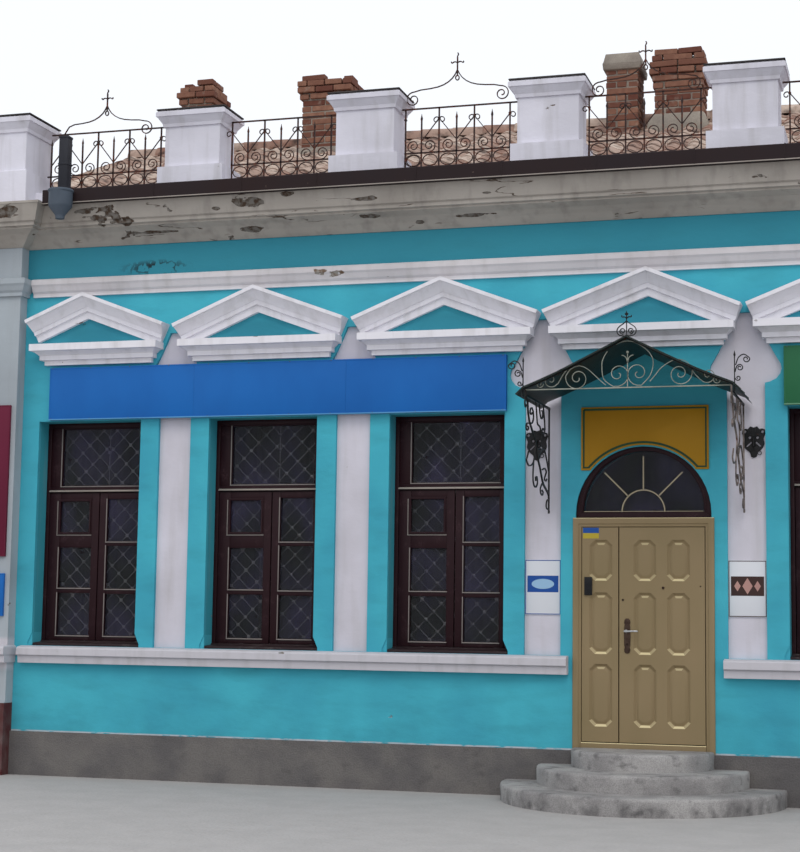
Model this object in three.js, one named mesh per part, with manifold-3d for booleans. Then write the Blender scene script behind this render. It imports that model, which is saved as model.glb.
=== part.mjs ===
// Single-storey historic museum building, five bays, in millimetres.
// X runs along the street front from the door's centre line, Y into the building from the
// wall face, Z up from the pavement. The finished group stands centred on its own footprint.
import * as THREE from 'three';
import { mergeVertices } from 'three/addons/utils/BufferGeometryUtils.js';
import Module from 'manifold-3d';

const wasm = await Module();
wasm.setup();

// Driving dimensions
const GAP = 0.3;
const BAY = 1850;
const END_BAY = 750;
const PILASTER = 550;
const BAYS = [-3, -2, -1, 0, 1];
const FRONT_LEFT = -3 * BAY - END_BAY;
const FRONT_RIGHT = BAY + END_BAY;
const LEFT = FRONT_LEFT - PILASTER;
const RIGHT = FRONT_RIGHT + PILASTER;
const DEPTH = 7400;
const WALL = 450;
const FACING = 40;
const PLINTH_TOP = 425;
const PLINTH_PROUD = 30;
const CEILING_Z = 4900;
const WALL_TOP = 5600;
const FRIEZE_TOP = 5280;
const CORNICE_TOP = 5680;
const KERB_TOP = 5900;
const KERB_Y = 90;
const PILASTER_FRONT = 140;
const ROOF_EAVE_Y = 600;
const ROOF_RIDGE_Y = 3700;
const ROOF_BACK_Y = 7800;
const ROOF_RIDGE_Z = 7240;
const ROOF_SLOPE = 0.415;
const ROOF_THICK = 120;
const VERGE = 100;
const STRIP_HALF = 170;
const STRIP_BOTTOM = 1270;

const WINDOW = {
  half: 560,
  bottom: 1270,
  top: 3510,
  recess: 200,
  frameDepth: 90,
  clear: 6,
  sashDepth: 32,
  sashHalf: 520,
  transom: 2806,
  sill: 1318,
  glass: 4,
  flare: 45,
  flareLow: 1300,
  flareTop: 1400,
  board: 1312,
  boardPlay: 8,
};
const WINDOW_BAYS = [-3, -2, -1, 1];
const STRIPS = [-2.5, -1.5, -0.5, 0.5].map((bay) => bay * BAY);

// Stiles and panes of the two sashes, measured from the window centre
const SASHES = [
  {
    name: 'left', x0: -514, x1: 34,
    panes: [[-395, -42, 1376, 1796], [-395, -42, 1850, 2250], [-395, -72, 2405, 2715]],
  },
  {
    name: 'right', x0: 44, x1: 514,
    panes: [[129, 468, 1376, 1789], [129, 468, 1843, 2269], [129, 468, 2315, 2736]],
  },
];
const UPPER_PANE = { x0: -395, x1: 468, z0: 2876, z1: 3450 };

const DOOR = {
  frameHalf: 640,
  frameTop: 2520,
  holeHalf: 560,
  holeBottom: 500,
  holeTop: 2438,
  stopHalf: 535,
  frontY: -20,
  leafY0: -10,
  leafY1: 30,
  stopY: 36,
  backY: 110,
  split0: -223,
  split1: -213,
};
const FANLIGHT = { z: 2520, stilt: 35, radius: 615, ring: 75, hub: 185, y0: 20, y1: 80 };

const PEDIMENT = { apex: 4785, half: 905, slope: 0.392 };

// Plain solids

function solid(vertices, triangles) {
  const geometry = new THREE.BufferGeometry();
  geometry.setAttribute('position', new THREE.Float32BufferAttribute(vertices.flat(), 3));
  geometry.setIndex(triangles.flat());
  return volume(geometry) < 0 ? flipped(geometry) : geometry;
}

function volume(geometry) {
  const p = geometry.getAttribute('position');
  const index = geometry.getIndex();
  const a = new THREE.Vector3();
  const b = new THREE.Vector3();
  const c = new THREE.Vector3();
  let sum = 0;
  for (let i = 0; i < index.count; i += 3) {
    a.fromBufferAttribute(p, index.getX(i));
    b.fromBufferAttribute(p, index.getX(i + 1));
    c.fromBufferAttribute(p, index.getX(i + 2));
    sum += a.dot(b.cross(c)) / 6;
  }
  return sum;
}

function flipped(geometry) {
  const index = Array.from(geometry.getIndex().array);
  for (let i = 0; i < index.length; i += 3) {
    [index[i + 1], index[i + 2]] = [index[i + 2], index[i + 1]];
  }
  geometry.setIndex(index);
  return geometry;
}

// Closed body through rings of equal length; the end rings are capped
function loft(rings, capPoints) {
  const count = rings[0].length;
  const triangles = [];
  for (let r = 0; r + 1 < rings.length; r += 1) {
    for (let i = 0; i < count; i += 1) {
      const j = (i + 1) % count;
      const a = r * count + i;
      const b = r * count + j;
      triangles.push([a, b, b + count], [a, b + count, a + count]);
    }
  }
  const flat = capPoints.map(([u, v]) => new THREE.Vector2(u, v));
  const last = (rings.length - 1) * count;
  for (const [a, b, c] of THREE.ShapeUtils.triangulateShape(flat, [])) {
    triangles.push([c, b, a]);
    triangles.push([last + a, last + b, last + c]);
  }
  return solid(rings.flat(), triangles);
}

// Outline pulled through a thickness; place(u, v, w) gives the point
function plate(outline, w0, w1, place) {
  const contour = counterClockwise(outline);
  const count = contour.length;
  const vertices = [];
  for (const w of [w0, w1]) {
    for (const [u, v] of contour) {
      vertices.push(place(u, v, w));
    }
  }
  const triangles = [];
  const flat = contour.map(([u, v]) => new THREE.Vector2(u, v));
  for (const [a, b, c] of THREE.ShapeUtils.triangulateShape(flat, [])) {
    triangles.push([c, b, a], [a + count, b + count, c + count]);
  }
  for (let a = 0; a < count; a += 1) {
    const b = (a + 1) % count;
    triangles.push([a, b, b + count], [a, b + count, a + count]);
  }
  return solid(vertices, triangles);
}

function counterClockwise(points) {
  const area = THREE.ShapeUtils.area(points.map(([u, v]) => new THREE.Vector2(u, v)));
  return area < 0 ? [...points].reverse() : points;
}

const upright = (outline, y0, y1) => plate(outline, y0, y1, (x, z, y) => [x, y, z]);
const alongX = (profile, x0, x1) => plate(profile, x0, x1, (y, z, x) => [x, y, z]);
const flatPlate = (outline, z0, z1) => plate(outline, z0, z1, (x, y, z) => [x, y, z]);
const rect = (u0, u1, v0, v1) => [[u0, v0], [u1, v0], [u1, v1], [u0, v1]];
const box = (x0, x1, y0, y1, z0, z1) => flatPlate(rect(x0, x1, y0, y1), z0, z1);

// Stack of level rectangles: rows of x0, x1, y0, y1, z at the front and z at the back
function stack(rows) {
  const rings = rows.map(([x0, x1, y0, y1, zf, zb = zf]) => [
    [x0, y0, zf], [x1, y0, zf], [x1, y1, zb], [x0, y1, zb],
  ]);
  return loft(rings, rect(0, 1, 0, 1));
}

// Square bar along a line of points in a plane y = constant
function bar(points, y, size) {
  const half = size / 2;
  const rings = points.map(([x, z], i) => {
    const before = points[Math.max(i - 1, 0)];
    const after = points[Math.min(i + 1, points.length - 1)];
    const angle = Math.atan2(after[1] - before[1], after[0] - before[0]);
    const nx = -Math.sin(angle) * half;
    const nz = Math.cos(angle) * half;
    return [
      [x - nx, y - half, z - nz], [x + nx, y - half, z + nz],
      [x + nx, y + half, z + nz], [x - nx, y + half, z - nz],
    ];
  });
  return loft(rings, rect(0, 1, 0, 1));
}

function arc(cx, cz, radius, from, to, steps) {
  const points = [];
  for (let i = 0; i <= steps; i += 1) {
    const a = ((from + ((to - from) * i) / steps) * Math.PI) / 180;
    points.push([cx + radius * Math.cos(a), cz + radius * Math.sin(a)]);
  }
  return points;
}

function toManifold(geometry) {
  const clean = geometry.clone();
  clean.deleteAttribute('normal');
  clean.deleteAttribute('uv');
  const welded = mergeVertices(clean, 1e-3);
  return new wasm.Manifold(new wasm.Mesh({
    numProp: 3,
    vertProperties: new Float32Array(welded.getAttribute('position').array),
    triVerts: new Uint32Array(welded.getIndex().array),
  }));
}

function fromManifold(body) {
  const mesh = body.getMesh();
  const geometry = new THREE.BufferGeometry();
  geometry.setAttribute('position', new THREE.BufferAttribute(mesh.vertProperties, 3));
  geometry.setIndex(Array.from(mesh.triVerts));
  return geometry;
}

function joined(pieces) {
  const bodies = pieces.map(toManifold);
  return fromManifold(bodies.reduce((whole, next) => whole.add(next)));
}

// Upright plate with openings cut through it
function facade(outline, holes, y0, y1) {
  const body = toManifold(upright(outline, y0, y1));
  const cuts = holes.map((hole) => toManifold(upright(hole, y0 - 10, y1 + 10)));
  return fromManifold(cuts.reduce((rest, cut) => rest.subtract(cut), body));
}

const mirroredX = (points) => points.map(([x, z]) => [-x, z]);
const shifted = (points, dx) => points.map(([x, z]) => [x + dx, z]);

// Finishes
const FINISHES = {
  plaster_white: [0xc9c6cf, 0.9, 0],
  plaster_turquoise: [0x3fa6b5, 0.9, 0],
  plaster_grey: [0xb9b4aa, 0.95, 0],
  plinth_stone: [0x6f6661, 0.95, 0],
  step_concrete: [0x8b8d8c, 0.9, 0],
  frame_timber: [0x33191c, 0.6, 0],
  door_steel: [0x84725a, 0.45, 0.1],
  window_glass: [0x8fa3a8, 0.1, 0],
  sign_blue: [0x1f66b4, 0.5, 0],
  sign_green: [0x2f6b3c, 0.5, 0],
  sign_ochre: [0xc59a25, 0.5, 0],
  plaque_white: [0xe4e6ea, 0.4, 0],
  iron_black: [0x1d1c1b, 0.6, 0.4],
  iron_rusty: [0x4a2f26, 0.8, 0.3],
  gutter_brown: [0x33241f, 0.6, 0.3],
  zinc_grey: [0x69727b, 0.5, 0.5],
  brick: [0x7d4a3a, 0.95, 0],
  roof_tile: [0xb28a78, 0.9, 0],
  lever_steel: [0xb9bcbd, 0.3, 0.9],
  plastic_black: [0x17171a, 0.5, 0],
};

const materials = Object.fromEntries(
  Object.entries(FINISHES).map(([name, [color, roughness, metalness]]) => [
    name, new THREE.MeshStandardMaterial({ name, color, roughness, metalness }),
  ]),
);

const building = new THREE.Group();
building.name = 'museum_building';

function addPart(name, finish, geometry) {
  const mesh = new THREE.Mesh(geometry, materials[finish]);
  mesh.name = name;
  building.add(mesh);
}

// Ground floor slab with the plinth, and the half-round stair in front of the door
addPart('foundation', 'plinth_stone', box(LEFT, RIGHT, -PLINTH_PROUD, DEPTH, 0, PLINTH_TOP));

const STEPS = [
  { half: 1260, depth: 1420, z0: 0, z1: 151 },
  { half: 940, depth: 1060, z0: 100, z1: 302 },
  { half: 635, depth: 700, z0: 250, z1: 453 },
];
addPart('steps', 'step_concrete', joined(STEPS.map(({ half, depth, z0, z1 }) => {
  const back = -PLINTH_PROUD - GAP;
  const rim = [];
  for (let i = 0; i <= 24; i += 1) {
    const a = (Math.PI * i) / 24;
    rim.push([-half * Math.cos(a), back - (depth + back) * Math.sin(a)]);
  }
  return flatPlate(rim, z0, z1);
})));

// Walls: the street wall carries a thin coloured facing, left open at the white strips
const wallFoot = PLINTH_TOP + GAP;
// Half round on short upright sides
const stilted = (z, centre, radius, steps) => [
  [-radius, z], ...arc(0, centre, radius, 180, 0, steps), [radius, z],
];
const doorNotch = [
  [-DOOR.frameHalf - GAP, wallFoot],
  [-DOOR.frameHalf - GAP, FANLIGHT.z + GAP],
  ...stilted(FANLIGHT.z + GAP, FANLIGHT.z + FANLIGHT.stilt, FANLIGHT.radius + GAP, 24),
  [DOOR.frameHalf + GAP, FANLIGHT.z + GAP],
  [DOOR.frameHalf + GAP, wallFoot],
];
const frontOutline = (x0, x1, top) => [
  [x0, wallFoot], ...doorNotch, [x1, wallFoot], [x1, top], [x0, top],
];
// A window opening flares out at its foot, where the sill board lies
function opening(x, inset) {
  const half = WINDOW.half - inset;
  const foot = half + WINDOW.flare;
  const right = [[foot, WINDOW.bottom + inset], [foot, WINDOW.flareLow], [half, WINDOW.flareTop],
    [half, WINDOW.top - inset]];
  return shifted([...right, ...mirroredX(right).reverse()], x);
}
const windowHoles = WINDOW_BAYS.map((bay) => opening(bay * BAY, 0));
addPart('front_wall', 'plaster_white',
  facade(frontOutline(LEFT, RIGHT, WALL_TOP), windowHoles, FACING, WALL));

// Each white strip ends in a vase-shaped top: half widths and heights
const VASE = [
  [170, 3725], [215, 3735], [270, 3762], [305, 3805], [318, 3850], [310, 3895],
  [280, 3945], [248, 4000], [212, 4070], [166, 4160], [120, 4260], [72, 4370],
];
const stripHole = (x) => shifted([
  [-STRIP_HALF, STRIP_BOTTOM], [STRIP_HALF, STRIP_BOTTOM], ...VASE, ...mirroredX(VASE).reverse(),
], x);
addPart('front_facing', 'plaster_turquoise', facade(
  frontOutline(FRONT_LEFT + GAP, FRONT_RIGHT - GAP, FRIEZE_TOP),
  [...windowHoles, ...STRIPS.map(stripHole)], 0, FACING - GAP,
));

const roofZ = (y) => ROOF_RIDGE_Z - Math.abs(y - ROOF_RIDGE_Y) * ROOF_SLOPE;
const underRoof = (y) => roofZ(y) - ROOF_THICK - GAP;
const sideProfile = [
  [WALL + GAP, wallFoot], [DEPTH - WALL - GAP, wallFoot],
  [DEPTH - WALL - GAP, underRoof(DEPTH - WALL)], [ROOF_RIDGE_Y, underRoof(ROOF_RIDGE_Y)],
  [ROOF_EAVE_Y + 5, underRoof(ROOF_EAVE_Y)], [ROOF_EAVE_Y + 5, WALL_TOP], [WALL + GAP, WALL_TOP],
];
addPart('side_wall_left', 'plaster_grey', alongX(sideProfile, LEFT, LEFT + WALL));
addPart('side_wall_right', 'plaster_grey', alongX(sideProfile, RIGHT - WALL, RIGHT));
addPart('back_wall', 'plaster_grey', box(LEFT, RIGHT, DEPTH - WALL, DEPTH, wallFoot, WALL_TOP - 60));
addPart('ceiling', 'plaster_white', box(LEFT + WALL + GAP, RIGHT - WALL - GAP, WALL + GAP,
  DEPTH - WALL - GAP, CEILING_Z, CEILING_Z + 160));

// Tiled gable roof behind the parapet
const roofTop = [ROOF_EAVE_Y, ROOF_RIDGE_Y, ROOF_BACK_Y].map((y) => [y, roofZ(y)]);
const roofLow = roofTop.map(([y, z]) => [y, z - ROOF_THICK]);
addPart('roof', 'roof_tile', alongX([...roofLow, ...roofTop.reverse()], LEFT - VERGE, RIGHT + VERGE));

// Chimney stacks on the front slope, with corbelled crowns
const CHIMNEYS = [
  { x: -5795, half: 200, top: 7950 },
  { x: -4170, half: 285, top: 7900 },
  { x: -690, half: 180, top: 7870 },
  { x: -70, half: 262, top: 7880 },
];
CHIMNEYS.forEach(({ x, half, top }, i) => {
  const y0 = 2980;
  const y1 = 3420;
  const level = (grow, z) => [x - half - grow, x + half + grow, y0 - grow, y1 + grow, z];
  addPart(`chimney_${i + 1}`, 'brick', stack([
    [x - half, x + half, y0, y1, roofZ(y0) + GAP, roofZ(y1) + GAP],
    level(0, top - 260), level(25, top - 260), level(25, top - 190), level(50, top - 190),
    level(50, top - 110), level(15, top - 110), level(15, top),
  ]));
});

// Mouldings: tables of projection and height
const CORNICE = [
  [0, 5280], [15, 5280], [40, 5300], [90, 5345], [150, 5388], [230, 5425], [230, 5440],
  [262, 5448], [262, 5480], [285, 5492], [310, 5570], [338, 5655], [345, 5657], [345, CORNICE_TOP],
];
const STRING = [
  [30, 4780], [30, 4815], [50, 4835], [70, 4880], [85, 4900], [85, 4945], [60, 4960],
];
const SILL = [
  [85, 1100], [90, 1165], [120, 1180], [120, 1240], [105, 1255], [30, 1268],
];
const run = (table, x0, x1, back) => alongX([
  [back, table[0][1]], ...table.map(([p, z]) => [-p, z]), [back, table[table.length - 1][1]],
], x0, x1);
// The same moulding carried round the front and the inner side of an end pilaster; turn is
// the share of its projection that the inner side keeps
const around = (table, side, back, turn = 1) => stack(table.map(([p, z]) => (side < 0
  ? [LEFT, FRONT_LEFT + p * turn, -PILASTER_FRONT - p, back, z]
  : [FRONT_RIGHT - p * turn, RIGHT, -PILASTER_FRONT - p, back, z])));

addPart('cornice', 'plaster_white', joined([
  run(CORNICE, FRONT_LEFT, FRONT_RIGHT, FACING - GAP),
  around(CORNICE, -1, FACING - GAP),
  around(CORNICE, 1, FACING - GAP),
]));
const cornicePlan = CORNICE[CORNICE.length - 1][0] + GAP;
// The gutter's front hangs down before the crown of the cornice
const APRON_FOOT = 5648;
addPart('gutter', 'gutter_brown', alongX([
  [-400, APRON_FOOT], [-400, 5788], [-392, 5796], [-330, 5796], [KERB_Y - GAP, 5840],
  [KERB_Y - GAP, CORNICE_TOP + GAP], [-cornicePlan - 1, CORNICE_TOP + GAP],
  [-cornicePlan - 1, APRON_FOOT],
], FRONT_LEFT + cornicePlan, FRONT_RIGHT - cornicePlan));

// End pilasters with their plinth blocks and the sill courses that reach to the door bay
// Each sill course stops short of its pilaster; a low plaster band links the two
const SILL_ENDS = { left: -680, right: 725, clear: 90 };
function pilaster(side) {
  const [x0, x1] = side < 0 ? [LEFT + 20, FRONT_LEFT] : [FRONT_RIGHT, RIGHT - 20];
  const sill = side < 0
    ? run(SILL, FRONT_LEFT + SILL_ENDS.clear, SILL_ENDS.left, -GAP)
    : run(SILL, SILL_ENDS.right, FRONT_RIGHT - SILL_ENDS.clear, -GAP);
  const link = side < 0
    ? box(FRONT_LEFT - 50, FRONT_LEFT + SILL_ENDS.clear + 5, -12, -GAP, 1170, 1210)
    : box(FRONT_RIGHT - SILL_ENDS.clear - 5, FRONT_RIGHT + 50, -12, -GAP, 1170, 1210);
  return joined([
    box(x0, x1, -PILASTER_FRONT, FACING - GAP, 700, FRIEZE_TOP - GAP),
    box(x0, x1, -PILASTER_FRONT - 25, -PLINTH_PROUD - GAP, 0, 710),
    box(x0, x1, -100, FACING - GAP, wallFoot, 710),
    around(STRING, side, -GAP),
    around(SILL, side, -GAP, 0.2),
    sill,
    link,
  ]);
}
addPart('pilaster_left', 'plaster_white', pilaster(-1));
addPart('pilaster_right', 'plaster_white', pilaster(1));

// Window pediments under the string course: a level bed and two raking mouldings
// Bed rows: half length, projection, height. Rake rows: depth below the top edge, projection
const BED = [
  [735, 50, 4075], [735, 50, 4120], [770, 95, 4122], [770, 95, 4165],
  [812, 160, 4205], [840, 195, 4207], [840, 195, 4275],
];
const RAKE = [
  [0, 195], [34, 195], [36, 168], [84, 118], [118, 88], [120, 78], [160, 78], [163, 48], [228, 48],
];
// The inner mouldings end further in than the outer edge, by this share of their depth
const RAKE_END = 0.4;
// Hand-run apexes stand a little beside the bay's centre: shift and rise by bay
const APEX = { '-3': [-35, 0], '-2': [-60, 0], '-1': [-28, 0], 0: [55, 8], 1: [0, 0] };
// How much the two halves of each pediment are cut short, left and right: the pilasters take
// some of the end bays' outer halves
const CUT = { '-3': [235, 60], '-2': [0, 45], '-1': [0, 0], 0: [0, 0], 1: [0, 190] };
function pedimentBed(bay) {
  const x = bay * BAY;
  const [left, right] = CUT[bay];
  return stack(BED.map(([half, proud, z]) => [
    x - half + left, x + half - right, -proud, -GAP, z,
  ]));
}
function pedimentRake(bay) {
  const x = bay * BAY;
  const [left, right] = CUT[bay];
  const rise = Math.hypot(1, PEDIMENT.slope);
  const [lean, lift] = APEX[bay];
  const rings = RAKE.map(([depth, proud]) => {
    const reach = PEDIMENT.half - depth * RAKE_END;
    const apex = PEDIMENT.apex - depth * rise;
    const [a, b] = [reach - left, reach - right];
    const [za, zb] = [apex - a * PEDIMENT.slope, apex - b * PEDIMENT.slope];
    return [
      [x - a, -proud, za], [x + lean, -proud, apex + lift], [x + b, -proud, zb],
      [x + b, -GAP, zb], [x + lean, -GAP, apex + lift], [x - a, -GAP, za],
    ];
  });
  return loft(rings, [[-1, 0], [0, 1], [1, 0], [1, 1], [0, 2], [-1, 1]]);
}
const stringReach = 85 + GAP;
addPart('string_course', 'plaster_white', joined([
  run(STRING, FRONT_LEFT + stringReach, FRONT_RIGHT - stringReach, -GAP),
  ...BAYS.flatMap((bay) => [pedimentBed(bay), pedimentRake(bay)]),
]));

// Parapet: a kerb along the roof edge and piers with moulded caps
const PIER = { half: 298, foot: 56, y0: 150, y1: 530 };
const END_PIER = { half: 240, foot: 28, y0: -90, y1: 440 };
const PIER_TOP = 6715;
// The old piers stand a little beside the strips below them, and two have sunk
const PIER_SHIFT = [38, 20, 0, 0];
const SUNK = { left: 48, first: 38 };
function pier(x, { half, foot, y0, y1 }, z0, sunk) {
  const level = (grow, z) => [x - half - grow, x + half + grow, y0 - grow, y1 + grow, z];
  return stack([
    level(foot, z0), level(foot, 6095), level(0, 6110), level(0, 6548 - sunk),
    level(18, 6553 - sunk), level(24, 6585 - sunk), level(50, 6622 - sunk), level(68, 6650 - sunk),
    level(78, 6652 - sunk), level(78, 6695 - sunk), level(52, PIER_TOP - sunk),
  ]);
}
const endPiers = [LEFT + 20 + END_PIER.half + 20, RIGHT - 20 - END_PIER.half - 20];
addPart('parapet', 'plaster_white', joined([
  box(endPiers[0], endPiers[1], KERB_Y, KERB_Y + 500, WALL_TOP + GAP, KERB_TOP),
  ...STRIPS.map((x, i) => pier(x + PIER_SHIFT[i], PIER, KERB_TOP - 50, i === 0 ? SUNK.first : 0)),
  pier(endPiers[0], END_PIER, CORNICE_TOP + GAP, SUNK.left),
  pier(endPiers[1], END_PIER, CORNICE_TOP + GAP, 0),
]));

// Railings between the piers: three rails, tall posts and short spears in turn, V diagonals;
// an ogee crest with a finial stands on some of them, a little left of the middle
const RAIL = { y: 335, low: 5980, mid: 6130, top: 6575, step: 178 };
const CREST = [
  [428, 6570], [428, 6640], [455, 6632], [482, 6645], [495, 6675], [488, 6712], [462, 6738],
  [425, 6752], [360, 6757], [280, 6762], [200, 6775], [130, 6800], [75, 6838], [35, 6885], [2, 6940],
];
const CREST_BAYS = [-3, -1, 0];
const CREST_SHIFT = -20;
// Posts that stand beside the regular places, by bay
const POST_SHIFT = { '-1': -22, 0: -34 };
function crest(x) {
  return [
    bar(shifted(CREST, x), RAIL.y, 12),
    bar(shifted(mirroredX(CREST), x), RAIL.y, 12),
    box(x - 7, x + 7, RAIL.y - 7, RAIL.y + 7, 6900, 7130),
    box(x - 45, x + 45, RAIL.y - 5, RAIL.y + 5, 7025, 7040),
  ];
}
// A top rail stops short of the cap of a sunk pier: play at its two ends by bay
const SHORT = { '-3': [38, 30], '-2': [30, 0] };
function railing(bay, number) {
  const half = BAY / 2 - PIER.half - PIER.foot - GAP;
  const endHalf = END_PIER.half + END_PIER.foot + GAP;
  const first = number === 0;
  const last = number === STRIPS.length;
  const ends = [
    first ? endPiers[0] + endHalf : bay * BAY - half + PIER_SHIFT[number - 1],
    last ? endPiers[1] - endHalf : bay * BAY + half + PIER_SHIFT[number],
  ];
  const [short0, short1] = SHORT[bay] ?? [0, 0];
  const rail = (x0, x1, z) => box(x0, x1, RAIL.y - 8, RAIL.y + 8, z - 7, z + 7);
  const over = PIER.foot - END_PIER.foot;
  const bars = [
    rail(...ends, RAIL.low), rail(...ends, RAIL.mid),
    rail(ends[0] + short0 - (first ? 0 : over), ends[1] - short1 + (last ? 0 : over), RAIL.top),
  ];
  const x = bay * BAY + (POST_SHIFT[bay] ?? 0);
  for (let i = -3; i <= 3; i += 1) {
    const tall = Math.abs(i) % 2 === 1;
    const px = Math.min(Math.max(x + i * RAIL.step, ends[0] + 9), ends[1] - 9);
    const [w, z1] = tall ? [8, RAIL.top + 3] : [7, 6480];
    bars.push(box(px - w, px + w, RAIL.y - w, RAIL.y + w, KERB_TOP + GAP, z1));
  }
  for (const i of [-2, 0, 2]) {
    for (const side of [-1, 1]) {
      const px = x + i * RAIL.step;
      bars.push(bar([[px, 6245], [px + side * RAIL.step, 6470]], RAIL.y, 9));
    }
  }
  return joined(CREST_BAYS.includes(bay) ? [...bars, ...crest(bay * BAY + CREST_SHIFT)] : bars);
}
BAYS.forEach((bay, i) => addPart(`railing_${i + 1}`, 'iron_rusty', railing(bay, i)));

// Street windows: fixed frame with a glazed upper light, two hinged sashes below it
const frameY = [WINDOW.recess, WINDOW.recess + WINDOW.frameDepth];
const sashY = [WINDOW.recess, WINDOW.recess + WINDOW.sashDepth];
WINDOW_BAYS.forEach((bay, i) => {
  const x = bay * BAY;
  const light = rect(x + UPPER_PANE.x0, x + UPPER_PANE.x1, UPPER_PANE.z0, UPPER_PANE.z1);
  const boardHalf = WINDOW.half + WINDOW.flare - WINDOW.boardPlay;
  addPart(`window_${i + 1}_frame`, 'frame_timber', joined([
    facade(
      opening(x, GAP),
      [rect(x - WINDOW.sashHalf, x + WINDOW.sashHalf, WINDOW.sill, WINDOW.transom), light],
      ...frameY,
    ),
    box(x + UPPER_PANE.x0 - 5, x + UPPER_PANE.x1 + 5, frameY[0] + 30, frameY[0] + 34,
      UPPER_PANE.z0 - 5, UPPER_PANE.z1 + 5),
    alongX([
      [15, WINDOW.bottom + GAP], [frameY[0] + 5, WINDOW.bottom + GAP],
      [frameY[0] + 5, WINDOW.board], [25, WINDOW.flareLow - 4], [15, WINDOW.flareLow - 10],
    ], x - boardHalf, x + boardHalf),
  ]));
  for (const sash of SASHES) {
    const name = `window_${i + 1}_${sash.name}_sash`;
    const panes = sash.panes.map(([x0, x1, z0, z1]) => rect(x + x0, x + x1, z0, z1));
    addPart(name, 'frame_timber', facade(
      rect(x + sash.x0, x + sash.x1, WINDOW.sill + WINDOW.clear, WINDOW.transom - WINDOW.clear),
      panes, ...sashY,
    ));
    const across = sash.panes.flatMap(([x0, x1]) => [x0, x1]);
    const upward = sash.panes.flatMap(([, , z0, z1]) => [z0, z1]);
    addPart(`${name}_glass`, 'window_glass', box(
      x + Math.min(...across) - 15, x + Math.max(...across) + 15, sashY[1] + GAP,
      sashY[1] + GAP + WINDOW.glass, Math.min(...upward) - 15, Math.max(...upward) + 15,
    ));
  }
});

// Entrance: steel frame with a stop, a narrow and a wide leaf
const D = DOOR;
const doorOuter = rect(-D.frameHalf, D.frameHalf, wallFoot, D.frameTop);
addPart('door_frame', 'door_steel', joined([
  facade(doorOuter, [rect(-D.holeHalf, D.holeHalf, D.holeBottom, D.holeTop)],
    D.frontY, D.stopY + 2),
  facade(doorOuter, [rect(-D.stopHalf, D.stopHalf, D.holeBottom - 15, D.holeTop - 25)],
    D.stopY, D.backY),
]));
const leaf = (x0, x1) => box(x0, x1, D.leafY0, D.leafY1, D.holeBottom + 8, D.holeTop - 6);
addPart('door_leaf_narrow', 'door_steel', leaf(-D.holeHalf + 6, D.split0));
addPart('door_leaf_wide', 'door_steel', leaf(D.split1, D.holeHalf - 6));
const plateY = D.leafY0 - GAP;
addPart('door_handle', 'lever_steel', joined([
  box(-171, -131, plateY - 9, plateY, 1312, 1598),
  box(-158, -142, plateY - 50, plateY - 5, 1489, 1505),
  box(-158, -38, plateY - 58, plateY - 46, 1489, 1505),
]));
addPart('lock_box', 'plastic_black', box(-530, -460, plateY - 22, plateY, 1818, 1982));

// Fanlight over the door: glazed half round with a hub and three rays
const F = FANLIGHT;
const fanOuter = stilted(F.z + GAP + GAP, F.z + F.stilt, F.radius - GAP, 24);
const fanBase = F.z + 55;
const fanCentre = fanBase + F.stilt;
const SECTORS = [[2, 42], [46, 88], [92, 134], [138, 178]];
const fanPanes = SECTORS.map(([from, to]) => {
  const outer = arc(0, fanCentre, F.radius - F.ring - 30, from, to, 8);
  const inner = arc(0, fanCentre, F.hub + 8, to, from, 8);
  const first = from === 2 ? [[inner[8][0], fanBase], [outer[0][0], fanBase]] : [];
  const last = to === 178 ? [[outer[8][0], fanBase], [inner[0][0], fanBase]] : [];
  return [...first, ...outer, ...last, ...inner];
});
const fanHub = stilted(fanBase + 8, fanCentre, F.hub - 10, 12);
addPart('fanlight_frame', 'frame_timber', joined([
  facade(fanOuter, [...fanPanes, fanHub], F.y0, F.y1),
  facade(stilted(fanBase - 5, fanCentre, F.radius - F.ring - 20, 24), [], F.y0 + 28, F.y0 + 32),
]));

// Boards: painted fascia boards, arched board over the door, plaques on the strips
const BOARD = { x0: 1265, z0: 3520, z1: 4045, y: 60 };
addPart('fascia_board_left', 'sign_blue',
  box(-5980, -BOARD.x0, -BOARD.y, -GAP, BOARD.z0, BOARD.z1));
addPart('fascia_board_right', 'sign_green',
  box(BOARD.x0, FRONT_RIGHT - 135, -BOARD.y, -GAP, BOARD.z0, BOARD.z1));
const archCut = arc(0, F.z + F.stilt, F.radius + 12, 139, 41, 16);
const ARCH_BOARD = { x0: -565, x1: 595, z0: 2955, z1: 3535 };
addPart('arch_board', 'sign_ochre', facade([
  [ARCH_BOARD.x0, ARCH_BOARD.z1], [ARCH_BOARD.x0, ARCH_BOARD.z0], [archCut[0][0], ARCH_BOARD.z0],
  ...archCut, [archCut[16][0], ARCH_BOARD.z0], [ARCH_BOARD.x1, ARCH_BOARD.z0],
  [ARCH_BOARD.x1, ARCH_BOARD.z1],
], [], -15, -GAP));
const plaque = (x) => box(x - 169, x + 169, FACING - GAP - 12, FACING - GAP, 1636, 2140);
addPart('plaque_left', 'plaque_white', plaque(-BAY / 2));
addPart('plaque_right', 'plaque_white', plaque(BAY / 2));

// Entrance canopy: folded sheet roof on a wrought iron frame with two wall brackets
const CANOPY = {
  x: 20,
  front: -1050,
  frameY: -1000,
  rail: 885,
  low: 3520,
  railZ: 3576,
  sheet: 6,
  bracketFoot: 2570,
};
const sheetTop = [[965, 3535], [900, 3597], [600, 3722], [300, 3868], [0, 4018]];
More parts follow.
